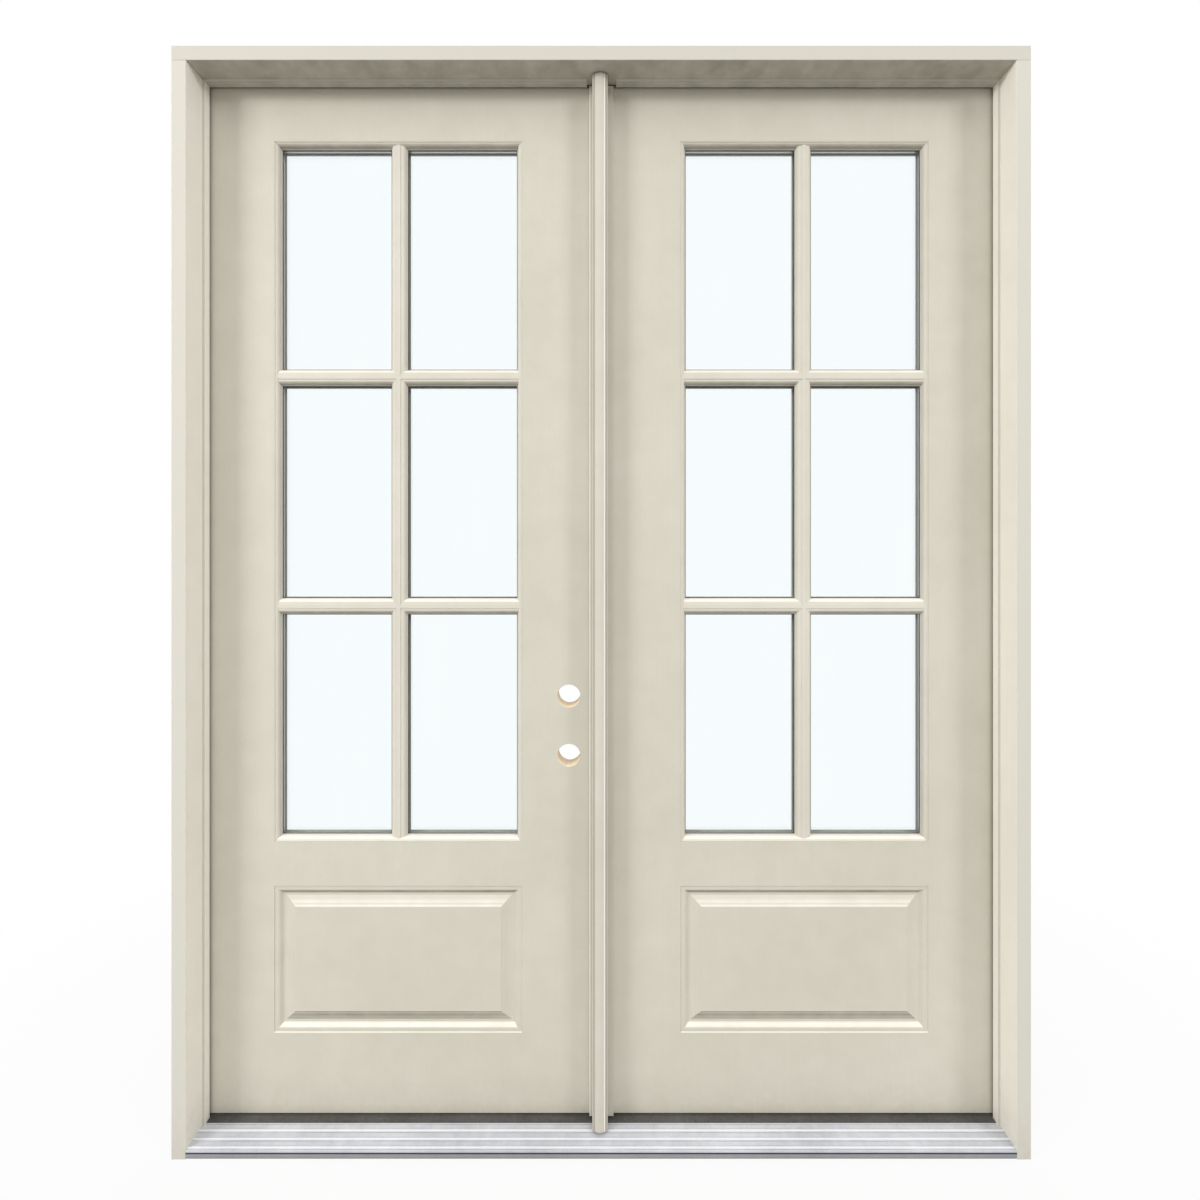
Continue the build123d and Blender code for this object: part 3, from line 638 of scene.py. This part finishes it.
@dataclass(frozen=True)
class Composite(Finish):
    """Extruded wood-fibre composite: speckled, with faint lines of the die."""

    light: Colour = srgb(104, 95, 80)
    dark: Colour = srgb(74, 66, 54)
    roughness: float = 0.6
    speck: Colour = srgb(140, 128, 108)

    def paint(self, net: Net, place: Socket, surface: bpy.types.Node) -> None:
        """Speckle from a fine noise, die lines along the run and a mottled tone.

        Args:
            net: Net over the material's tree.
            place: Object coordinates.
            surface: Principled shader to feed.
        """
        speck = net.spread(net.noise(place, 1300.0, 2.0), 0.5, 0.62, 0.0, 1.0)
        lines = EFFECTS.drawn(net, place, (0.01, 1.0, 1.0), 700.0)
        patch = EFFECTS.cloud(net, place, 9.0, self)
        tone = net.blend(speck, 0.3, patch.outputs[0], self.speck)
        tone = net.blend(lines, 0.3, tone, self.dark)
        rough = net.spread(lines, 0.0, 1.0, self.roughness, self.roughness + 0.15)
        height = net.calc("ADD", lines, net.calc("MULTIPLY", speck, 0.4))
        net.coat(surface, tone, rough, bump(net, height, 0.06 * MM, 0.6))


@dataclass(frozen=True)
class PlanedWood(Finish):
    """Bare planed softwood: bands of summer and spring wood with fine fibre lines."""

    light: Colour = srgb(222, 194, 150)
    dark: Colour = srgb(176, 132, 84)
    bore_x: float = -76.2 * MM
    bore_heights: Tuple[float, ...] = (870.8 * MM, 1010.5 * MM)
    bore_radius: float = 27.0 * MM
    coated: Colour = srgb(246, 243, 235)

    def paint(self, net: Net, place: Socket, surface: bpy.types.Node) -> None:
        """Rings from a wave bent by noise and squeezed along the grain, with fibres over them.

        Args:
            net: Net over the material's tree.
            place: Object coordinates.
            surface: Principled shader to feed.
        """
        squeezed = net.vector("MULTIPLY", place, (1.0, 1.0, 0.05))[0]
        feeds = {"Vector": squeezed, "Scale": 42.0, "Distortion": 5.0, "Detail": 2.0, "Detail Scale": 1.4}
        rings = net.put("ShaderNodeTexWave", feeds, wave_type="RINGS", rings_direction="Z").outputs[1]
        fibre = EFFECTS.drawn(net, place, (1.0, 1.0, 0.01), 1500.0)
        tone = net.mix(rings, self.light, self.dark)
        tone = net.blend(fibre, 0.35, tone, self.dark)
        tone = net.mix(self.bores(net, place), tone, self.coated)
        height = net.calc("ADD", fibre, net.calc("MULTIPLY", rings, 0.6))
        net.coat(surface, tone, net.spread(rings, 0.0, 1.0, 0.62, 0.5), bump(net, height, 0.08 * MM, 0.5))

    def bores(self, net: Net, place: Socket) -> Socket:
        """Mask of the lock bores' walls, which the primer covers: near enough to either bore's axis.

        Args:
            net: Net over the material's tree.
            place: Object coordinates.

        Returns:
            A mask that is 1 on the walls of the bores.
        """
        level = net.vector("MULTIPLY", place, (1.0, 0.0, 1.0))[0]
        near = []
        for height in self.bore_heights:
            reach = net.vector("DISTANCE", level, (self.bore_x, 0.0, height))[1]
            beyond = net.calc("SUBTRACT", reach, self.bore_radius)
            near.append(net.spread(beyond, 0.2 * MM, 0.8 * MM, 1.0, 0.0))
        return net.calc("MAXIMUM", *near)


@dataclass(frozen=True)
class FloatGlass(Finish):
    """Clear float glass with a faint cool tint and nearly invisible wipe marks."""

    tint: Colour = (0.955, 0.985, 0.99)
    wiped: Colour = (0.985, 0.995, 0.995)
    passed: Colour = (0.93, 0.96, 0.96)
    index: float = 1.45

    def paint(self, net: Net, place: Socket, surface: bpy.types.Node) -> None:
        """Clear transmission, with wipe marks in the gloss only.

        Args:
            net: Net over the material's tree.
            place: Object coordinates.
            surface: Principled shader to feed.
        """
        wipe = EFFECTS.drawn(net, place, (1.0, 1.0, 0.3), 9.0)
        tone = net.blend(wipe, 0.25, self.tint, self.wiped)
        surface.inputs["Transmission Weight"].default_value = 1.0
        surface.inputs["IOR"].default_value = self.index
        net.coat(surface, tone, net.spread(wipe, 0.0, 1.0, 0.0, 0.015))

    def shaded(self, net: Net, surface: bpy.types.Node) -> Socket:
        """Lets shadow rays through, so that the lamps reach what is between and behind the panes.

        Args:
            net: Net over the material's tree.
            surface: Principled shader of the glass.

        Returns:
            The shader that reaches the output.
        """
        clear = net.put("ShaderNodeBsdfTransparent", {0: self.passed}).outputs[0]
        shadow = net.put("ShaderNodeLightPath").outputs["Is Shadow Ray"]
        return net.put("ShaderNodeMixShader", {0: shadow, 1: surface.outputs[0], 2: clear}).outputs[0]


@dataclass(frozen=True)
class SpacerBar(Finish):
    """Folded bar between the panes: satin metal with a row of small breather holes."""

    step: float = 5.0 * MM
    metal: Colour = srgb(246, 246, 244)
    pit: Colour = srgb(90, 90, 92)

    def paint(self, net: Net, place: Socket, surface: bpy.types.Node) -> None:
        """Dots on a 5 mm grid, dark and sunk, over satin metal.

        Args:
            net: Net over the material's tree.
            place: Object coordinates.
            surface: Principled shader to feed.
        """
        cell = net.vector("MODULO", place, (self.step,) * 3)[0]
        centred = net.vector("SUBTRACT", cell, (self.step / 2, 0.0, self.step / 2))[0]
        flat = net.vector("MULTIPLY", centred, (1.0, 0.0, 1.0))[0]
        reach = net.vector("LENGTH", flat)[1]
        hole = net.spread(reach, 0.4 * MM, 0.7 * MM, 1.0, 0.0)
        tone = net.mix(hole, self.metal, self.pit)
        surface.inputs["Metallic"].default_value = 0.1
        relief = bump(net, net.calc("SUBTRACT", 1.0, hole), 0.3 * MM, 0.6)
        net.coat(surface, tone, net.spread(hole, 0.0, 1.0, 0.38, 0.8), relief)


class Finishes:
    """Every finish of the unit."""

    FRAME_UP = Primer("primer_frame_upright", "primed_frame", *FRAME_TONES, grain=0.45,
                      front_shade=srgb(203, 200, 190), joint_z=HEAD_JOINT_Z)
    # Painted shade: the head jamb takes darker tones and a darker underside tone than the jambs.
    FRAME_LEVEL = Primer("primer_frame_level", "primed_frame", *HEAD_SHADED_TONES, run=Run.LEVEL, grain=0.45,
                         front_shade=srgb(202, 199, 189), grime=srgb(88, 83, 70), joint_z=HEAD_JOINT_Z)
    SKIN = Primer("primer_skin", "primed_skin")
    LITE = Primer("primer_lite", "primed_lite", *LITE_TONES, grain=0.1, roughness=0.45, grime=LITE_UNDER_SHADE,
                  mitres=True)
    MUNTIN = Primer("primer_muntin", "primed_lite", *LITE_TONES, grain=0.1, roughness=0.45,
                    grime=LITE_UNDER_SHADE)
    # The astragal's edge lines are painted highlights, and its flange is painted darker as shade beside the
    # nose.
    ASTRAGAL = Primer("primer_astragal", "primed_astragal", srgb(215, 211, 200), srgb(203, 198, 185),
                      grain=0.4, grooves=(-18.2 * MM, -15.5 * MM, 10.2 * MM, 12.8 * MM),
                      highlit_edges=(-27.0 * MM, 7.8 * MM))
    DECK = DrawnAluminium("drawn_aluminium", "mill_aluminium")
    CAP = Composite("cap_composite", "dark_cap", srgb(84, 83, 84), srgb(50, 49, 50), 0.42)
    BASE = Composite("base_composite", "sill_composite")
    STEEL = SatinSteel("satin_steel", "satin_steel")
    PIN = SatinSteel("pin_steel", "pin_steel", srgb(200, 198, 192), srgb(150, 148, 142), Run.LEVEL, 0.28)
    BOLT = SatinSteel("bolt_steel", "bolt_steel", srgb(204, 205, 204), srgb(152, 153, 154), Run.UPRIGHT, 0.3)
    STRIP = SoftSeal("strip_vinyl", "weatherstrip_vinyl", pore=900.0)
    FOAM = SoftSeal("seal_foam", "seal_foam", srgb(58, 54, 49), srgb(36, 33, 30), 420.0, 0.82)
    SWEEP = SoftSeal("sweep_vinyl", "sweep_vinyl", srgb(74, 65, 54), srgb(47, 41, 34), 1400.0, 0.55)
    GASKET = SoftSeal("glazing_gasket", "seal_foam", srgb(40, 39, 37), srgb(22, 21, 20), 1600.0, 0.5)
    PALE_GASKET = SoftSeal("interior_gasket", "seal_foam", srgb(190, 184, 171), srgb(164, 157, 144),
                           1600.0, 0.5)
    WOOD = PlanedWood("stile_wood", "stile_wood")
    CORE = SoftSeal("core_foam", "core_foam", srgb(233, 219, 176), srgb(206, 188, 140), 520.0, 0.85)
    GLASS = FloatGlass("float_glass", "clear_glass")
    SPACER = SpacerBar("spacer_bar", "spacer_bar")


LEAF_NODES: Dict[Finish, Tuple[str, ...]] = {
    Finishes.WOOD: ("hinge_stile", "meeting_stile", "top_rail", "bottom_rail"),
    Finishes.CORE: ("core",),
    Finishes.SKIN: ("exterior_skin", "interior_skin"),
    Finishes.LITE: ("exterior_light_frame", "interior_light_frame"),
    Finishes.MUNTIN: ("exterior_muntins", "interior_muntins"),
    Finishes.GLASS: ("outer_pane", "inner_pane"),
    Finishes.SPACER: ("glass_spacer",),
    Finishes.SWEEP: ("door_sweep",),
    Finishes.STEEL: ("hinge_leaves",),
}

FRAME_NODES: Dict[Finish, Tuple[str, ...]] = {
    Finishes.FRAME_UP: ("left_jamb", "right_jamb"),
    Finishes.FRAME_LEVEL: ("head_jamb",),
    Finishes.BASE: ("sill_base",),
    Finishes.DECK: ("sill_deck",),
    Finishes.CAP: ("threshold_cap",),
    Finishes.STEEL: ("threshold_bolt_bush", "head_bolt_strike", "left_jamb_hinge_leaves",
                     "right_jamb_hinge_leaves", "top_bolt_plate", "bottom_bolt_plate"),
    Finishes.STRIP: ("left_weatherstrip", "right_weatherstrip", "head_weatherstrip"),
    Finishes.FOAM: ("corner_pads", "astragal_seal"),
    Finishes.PIN: ("left_hinge_pins", "right_hinge_pins"),
    Finishes.WOOD: ("active_lock_block",),
    Finishes.ASTRAGAL: ("astragal",),
    Finishes.BOLT: ("top_flush_bolt", "bottom_flush_bolt"),
}


def dress(node: str, finish: Finish) -> None:
    """Gives a CAD node its finish.

    Args:
        node: Name of the node.
        finish: Finish that replaces its plain material.
    """
    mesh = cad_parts[node].data
    mesh.materials.clear()
    mesh.materials.append(finish.material())


def grid_faces(rows: int, columns: int, wrap_rows: bool, wrap_columns: bool) -> np.ndarray:
    """Quads over a grid of points, numbered row by row.

    Args:
        rows: Number of rows of points.
        columns: Number of points in a row.
        wrap_rows: Whether the last row joins the first.
        wrap_columns: Whether the last point of a row joins its first.

    Returns:
        One line of four point numbers for each quad.
    """
    row = np.arange(rows if wrap_rows else rows - 1)
    column = np.arange(columns if wrap_columns else columns - 1)
    here, along = np.meshgrid(row, column, indexing="ij")
    next_row, next_along = (here + 1) % rows, (along + 1) % columns
    near_row, far_row = here * columns, next_row * columns
    corners = [near_row + along, near_row + next_along, far_row + next_along, far_row + along]
    return np.stack([corner.ravel() for corner in corners], axis=1)


def piece(name: str, points: np.ndarray, faces: np.ndarray, finish: Finish, body: str,
          smooth: bool) -> bpy.types.Object:
    """Makes a finished mesh object that rides on a body.

    Args:
        name: Name of the piece.
        points: One line of X, Y and Z for each point, in metres.
        faces: One line of point numbers for each face.
        finish: Finish of the whole piece.
        body: Body that it rides on.
        smooth: Whether its faces are shaded smooth.

    Returns:
        The new object.
    """
    mesh = bpy.data.meshes.new(name)
    mesh.from_pydata(points.tolist(), [], faces.tolist())
    mesh.validate()
    mesh.polygons.foreach_set("use_smooth", np.full(len(mesh.polygons), smooth))
    mesh.materials.append(finish.material())
    made = bpy.data.objects.new(name, mesh)
    bpy.context.scene.collection.objects.link(made)
    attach(made, body)
    LOG.info("%s: %d faces on %s", name, len(mesh.polygons), body)
    return made


@dataclass
class Glazing:
    """Dark gaskets that seal each field of glass to the lite frame and the muntins."""

    sticking: float = 12.7 * MM
    muntin: float = 38.1 * MM
    columns: int = 2
    rows: int = 3
    width: float = 2.1 * MM
    height: float = 0.9 * MM
    tuck: float = 0.4 * MM
    lift: float = 0.02 * MM
    turns: int = 7

    def fields(self, leaf: Leaf, face: Face) -> np.ndarray:
        """Works out the fields of glass of one face of a leaf.

        Args:
            leaf: Leaf of the pair.
            face: Face of that leaf.

        Returns:
            One line for each field: middle X, middle Z, half width and half height.
        """
        low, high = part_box("%s_%s_light_frame" % (leaf.word, face.name.lower()))
        day_low = np.array([low.x, low.z]) + self.sticking
        day_high = np.array([high.x, high.z]) - self.sticking
        parts = np.array([self.columns, self.rows])
        step = (day_high - day_low) / parts
        column, row = np.meshgrid(np.arange(self.columns), np.arange(self.rows), indexing="ij")
        index = np.stack([column.ravel(), row.ravel()], axis=1)
        start = day_low + step * index + np.where(index > 0, self.muntin / 2, 0.0)
        end = day_low + step * (index + 1) - np.where(index < parts - 1, self.muntin / 2, 0.0)
        return np.hstack([(start + end) / 2, (end - start) / 2])

    def profile(self) -> np.ndarray:
        """Works out the section: half an ellipse, as (distance in from the field's edge, height).

        Returns:
            One line for each point of the section.
        """
        turn = np.linspace(0.0, math.pi, self.turns)
        across = self.width * (1 - np.cos(turn)) / 2 - self.tuck
        rise = self.height * np.sin(turn)
        base = np.array([[self.width - self.tuck, -self.lift], [-self.tuck, -self.lift]])
        return np.vstack([np.stack([across, rise], axis=1), base])

    def build(self, leaf: Leaf, face: Face) -> bpy.types.Object:
        """Carries the section round every field, as that field's rectangle drawn in by the distance.

        Args:
            leaf: Leaf of the pair.
            face: Face of that leaf.

        Returns:
            The gaskets of that face as one piece.
        """
        pane = "outer" if face is Face.EXTERIOR else "inner"
        low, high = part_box("%s_%s_pane" % (leaf.word, pane))
        glass_y = low.y if face is Face.EXTERIOR else high.y
        section = self.profile()
        count = len(section)
        corner_x = np.array([-1.0, 1.0, 1.0, -1.0])[:, None]
        corner_z = np.array([-1.0, -1.0, 1.0, 1.0])[:, None]
        rings, faces = [], []
        for number, (mid_x, mid_z, half_x, half_z) in enumerate(self.fields(leaf, face)):
            x = mid_x + corner_x * (half_x - section[None, :, 0])
            z = mid_z + corner_z * (half_z - section[None, :, 0])
            y = np.broadcast_to(glass_y + face.value * section[None, :, 1], x.shape)
            rings.append(np.stack([x, y, z], axis=2).reshape(-1, 3))
            quads = grid_faces(4, count, True, True)
            faces.append((quads if face is Face.INTERIOR else quads[:, ::-1]) + number * 4 * count)
        name = "%s_%s_gaskets" % (leaf.word, face.name.lower())
        finish = Finishes.GASKET if face is Face.EXTERIOR else Finishes.PALE_GASKET
        return piece(name, np.vstack(rings), np.vstack(faces), finish, leaf.body, False)


@dataclass
class ScrewHead:
    """Countersunk head with a cross recess, seen from its face."""

    radius: float = 4.1 * MM
    stand: float = 0.55 * MM
    recess: float = 0.5 * MM
    arm: float = 0.55 * MM
    reach: float = 2.3 * MM
    flat: float = 1.4
    sink: float = 0.05 * MM
    rings: int = 10
    sectors: int = 32

    def surface(self) -> np.ndarray:
        """Height over the disc: a shallow dome less the deeper of two crossed arms.

        Returns:
            One line for each point: two places across the head and its height.
        """
        share = np.linspace(0.0, 1.0, self.rings) ** 0.8
        turn = np.linspace(0.0, 2 * math.pi, self.sectors, endpoint=False)
        radius, angle = np.meshgrid(share * self.radius, turn, indexing="ij")
        u, v = radius * np.cos(angle), radius * np.sin(angle)
        dome = self.stand * np.sqrt(np.clip(1.0 - 0.9 * (radius / self.radius) ** 4, 0.0, 1.0))
        height = dome - self.recess * np.maximum(self.groove(u, v), self.groove(v, u))
        height[-1] = -self.sink
        return np.stack([u, v, height], axis=2).reshape(-1, 3)

    def groove(self, along: np.ndarray, across: np.ndarray) -> np.ndarray:
        """Depth of one arm of the cross: full near its middle line, falling off over an arm's half width.

        Args:
            along: Places along the arm.
            across: Places across the arm.

        Returns:
            Share of the recess's depth at each point.
        """
        beside = np.clip(self.flat - np.abs(across) / self.arm, 0.0, 1.0)
        return beside * np.clip((self.reach - np.abs(along)) / self.arm, 0.0, 1.0)

    def place(self, name: str, spots: np.ndarray, out: np.ndarray, body: str) -> bpy.types.Object:
        """Copies the head to several places that face the same way.

        Args:
            name: Name of the piece.
            spots: Middle of each head on its plate.
            out: Unit direction that the heads face.
            body: Body that they ride on.

        Returns:
            All the heads as one piece.
        """
        across = np.array([0.0, 1.0, 0.0]) if abs(out[1]) < 0.5 else np.array([1.0, 0.0, 0.0])
        other = np.cross(out, across)
        shape = self.surface()
        turned = shape[:, :1] * across + shape[:, 1:2] * other + shape[:, 2:] * out
        points = (spots[:, None, :] + turned[None, :, :]).reshape(-1, 3)
        quads = grid_faces(self.rings, self.sectors, False, True)[:, ::-1]
        shift = np.arange(len(spots)) * len(shape)
        faces = (quads[None, :, :] + shift[:, None, None]).reshape(-1, 4)
        return piece(name, points, faces, Finishes.PIN, body, True)


@dataclass
class HingeScrews:
    """Screws of the hinge plates, four to a plate, staggered in two columns."""

    head: ScrewHead = field(default_factory=ScrewHead)
    plate_height: float = 101.6 * MM
    heights: Tuple[float, ...] = (-38.0 * MM, -14.0 * MM, 14.0 * MM, 38.0 * MM)
    depths: Tuple[float, ...] = (18.0 * MM, 29.0 * MM, 18.0 * MM, 29.0 * MM)
    plates: int = 4

    def spots(self, node: str, face_x: float) -> np.ndarray:
        """Places of the screws on every plate of a node.

        Args:
            node: CAD node of the plates.
            face_x: X of the plates' visible face.

        Returns:
            One line of X, Y and Z for each screw.
        """
        low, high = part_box(node)
        first, last = low.z + self.plate_height / 2, high.z - self.plate_height / 2
        middles = np.linspace(first, last, self.plates)
        z = (middles[:, None] + np.array(self.heights)[None, :]).ravel()
        y = np.tile(low.y + np.array(self.depths), self.plates)
        return np.stack([np.full_like(z, face_x), y, z], axis=1)

    def build(self) -> None:
        """Adds the screws of the four sets of plates, which face each other across the gap."""
        for side, leaf in (("left", Leaf.ACTIVE), ("right", Leaf.PASSIVE)):
            jamb = side + "_jamb_hinge_leaves"
            node = leaf.word + "_hinge_leaves"
            rabbet_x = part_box("head_weatherstrip")[1].x * leaf.value
            edge_x = max(abs(corner.x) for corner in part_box(leaf.word + "_hinge_stile")) * leaf.value
            inward = np.array([-float(leaf.value), 0.0, 0.0])
            self.head.place(jamb + "_screws", self.spots(jamb, rabbet_x), inward, "frame")
            self.head.place(node + "_screws", self.spots(node, edge_x), -inward, leaf.body)


@dataclass
class BoltScrews:
    """Screws of the flush bolts' cover plates and of the strike under the head."""

    head: ScrewHead = field(default_factory=lambda: ScrewHead(radius=3.2 * MM, reach=1.9 * MM))
    margin: float = 9.0 * MM

    def build(self) -> None:
        """Adds two screws to each cover plate and to the strike."""
        out = np.array([-1.0, 0.0, 0.0])
        for end in ("top", "bottom"):
            low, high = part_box(end + "_bolt_plate")
            y = (low.y + high.y) / 2
            spots = np.array([[low.x, y, low.z + self.margin], [low.x, y, high.z - self.margin]])
            self.head.place(end + "_bolt_plate_screws", spots, out, "passive_leaf")
        low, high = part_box("head_bolt_strike")
        y = (low.y + high.y) / 2
        spots = np.array([[low.x + self.margin, y, low.z], [high.x - self.margin, y, low.z]])
        self.head.place("head_bolt_strike_screws", spots, np.array([0.0, 0.0, -1.0]), "frame")


def hang(name: str, data: bpy.types.ID, place: Point, turn: Point) -> bpy.types.Object:
    """Puts a lamp or the camera in the scene.

    Args:
        name: Name of the object.
        data: Its lamp or camera data.
        place: Where it stands.
        turn: Its turns about X, Y and Z.

    Returns:
        The new object, which glossy and transmission rays don't see.
    """
    made = bpy.data.objects.new(name, data)
    made.location = place
    made.rotation_euler = turn
    made.visible_glossy = False
    made.visible_transmission = False
    bpy.context.scene.collection.objects.link(made)
    return made


@dataclass(frozen=True)
class Lamp:
    """Soft rectangular lamp that faces the middle of the doors, with its power in watts."""

    name: str
    place: Point
    size: Tuple[float, float]
    power: float
    tint: Colour
    aim: Point = (0.0, 0.0, 1.2)

    def build(self) -> None:
        """Adds the lamp and turns it to what it faces."""
        data = bpy.data.lights.new(self.name, "AREA")
        data.shape = "RECTANGLE"
        data.size, data.size_y = self.size
        data.energy = self.power
        data.color = self.tint
        away = np.array(self.aim) - np.array(self.place)
        tilt = math.atan2(math.hypot(away[0], away[1]), -away[2])
        hang(self.name, data, self.place, (tilt, 0.0, math.atan2(away[1], away[0]) - math.pi / 2))


@dataclass
class Studio:
    """Floor, backdrop light, lamps and camera."""

    camera_place: Point = (2.9 * MM, -1261.0 * MM, 1366.0 * MM)
    focal_pixels: float = 541.0
    optical_x: float = 602.5
    optical_y: float = 545.15
    image: int = 1200
    sensor: float = 36.0
    lamps: Tuple[Lamp, ...] = (
        Lamp("key", (4.5, -2.9, 3.9), (1.2, 0.9), 112.0, (1.0, 0.99, 0.98)),
        Lamp("fill", (-4.6, -2.9, 3.5), (1.6, 0.9), 170.0, (1.0, 0.995, 0.99)),
        Lamp("room", (1.2, 4.6, 3.4), (3.0, 1.2), 120.0, (1.0, 0.99, 0.975)),
    )
    sky_strength: float = 1.55
    sky_width: float = math.radians(55.0)
    sky_tilt: float = math.radians(28.0)
    ambient: float = 0.38
    floor_half: float = 9.0
    floor_z: float = -0.5 * MM
    white_from: float = 1.1
    white_to: float = 2.2
    least_white: float = 0.92

    def camera(self) -> None:
        """Sets the camera: level and square to the wall, its axis a little above the picture's middle."""
        data = bpy.data.cameras.new("camera")
        data.sensor_fit = "HORIZONTAL"
        data.sensor_width = self.sensor
        data.lens = self.sensor * self.focal_pixels / self.image
        data.shift_x = (self.image / 2 - self.optical_x) / self.image
        data.shift_y = (self.optical_y - self.image / 2) / self.image
        data.clip_start = 0.01
        bpy.context.scene.camera = hang("camera", data, self.camera_place, (math.pi / 2, 0.0, 0.0))

    def skylight(self) -> None:
        """Adds the wide light from overhead: a very soft sun lamp, 62 degrees above the horizon."""
        data = bpy.data.lights.new("skylight", "SUN")
        data.energy = self.sky_strength
        data.angle = self.sky_width
        data.color = (1.0, 0.995, 0.985)
        hang("skylight", data, (0.0, -3.0, 6.0), (self.sky_tilt, 0.0, 0.0))

    def seen_white(self, net: Net) -> Socket:
        """Mask of the rays that show the backdrop: camera, glossy and transmission rays.

        Args:
            net: Net over the world's tree.

        Returns:
            A mask that is 1 for those rays.
        """
        path = net.put("ShaderNodeLightPath").outputs
        shown = net.calc("MAXIMUM", path["Is Camera Ray"], path["Is Glossy Ray"])
        return net.calc("MAXIMUM", shown, path["Is Transmission Ray"])

    def world(self) -> None:
        """Sets an even pale world that is plain white wherever it is seen."""
        made = bpy.data.worlds.new("studio")
        made.use_nodes = True
        made.node_tree.nodes.clear()
        net = Net(made.node_tree)
        feeds = {"Color": (1.0, 0.99, 0.97), "Strength": self.ambient}
        soft = net.put("ShaderNodeBackground", feeds).outputs[0]
        white = net.put("ShaderNodeBackground", {"Color": (1.0, 1.0, 1.0), "Strength": 1.0}).outputs[0]
        both = net.put("ShaderNodeMixShader", {0: self.seen_white(net), 1: soft, 2: white}).outputs[0]
        net.put("ShaderNodeOutputWorld", {0: both})
        bpy.context.scene.world = made

    def floor(self) -> None:
        """Lays a pale floor that keeps the unit's shadow and is nearly white where it is seen."""
        mesh = bpy.data.meshes.new("floor")
        signs = ((-1, -1), (1, -1), (1, 1), (-1, 1))
        corners = [(self.floor_half * x, self.floor_half * y, self.floor_z) for x, y in signs]
        mesh.from_pydata(corners, [], [(0, 1, 2, 3)])
        made = bpy.data.objects.new("floor", mesh)
        bpy.context.scene.collection.objects.link(made)
        paint = bpy.data.materials.new("pale_floor")
        paint.use_nodes = True
        paint.node_tree.nodes.clear()
        net = Net(paint.node_tree)
        matt = net.put("ShaderNodeBsdfDiffuse", {"Color": (0.5, 0.5, 0.49)}).outputs[0]
        glow = net.put("ShaderNodeEmission", {"Color": (1.0, 1.0, 1.0), "Strength": 1.0}).outputs[0]
        path = net.put("ShaderNodeLightPath").outputs
        place = net.put("ShaderNodeTexCoord").outputs["Object"]
        reach = net.vector("LENGTH", place)[1]
        plain = net.spread(reach, self.white_from, self.white_to, self.least_white, 1.0)
        seen = net.calc("MULTIPLY", net.calc("MAXIMUM", path["Is Camera Ray"], path["Is Glossy Ray"]), plain)
        share = net.calc("MAXIMUM", seen, path["Is Transmission Ray"])
        both = net.put("ShaderNodeMixShader", {0: share, 1: matt, 2: glow}).outputs[0]
        net.put("ShaderNodeOutputMaterial", {0: both})
        mesh.materials.append(paint)

    def build(self) -> None:
        """Sets up the camera, the even world, the floor and the lights."""
        self.camera()
        self.world()
        self.floor()
        for lamp in self.lamps:
            lamp.build()
        self.skylight()
        bpy.context.scene.view_settings.view_transform = "Standard"
        LOG.info("studio ready")


def main() -> None:
    """Dresses every node, adds the gaskets and screws, and sets up the studio."""
    logging.basicConfig(level=logging.INFO, format="%(name)s: %(message)s")
    for finish, nodes in FRAME_NODES.items():
        for node in nodes:
            dress(node, finish)
    for leaf in Leaf:
        for finish, words in LEAF_NODES.items():
            for word in words:
                dress("%s_%s" % (leaf.word, word), finish)
    LOG.info("dressed %d nodes", len(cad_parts))
    glazing = Glazing()
    for leaf in Leaf:
        for face in Face:
            glazing.build(leaf, face)
    HingeScrews().build()
    BoltScrews().build()
    Studio().build()


if __name__ == "__main__":
    main()
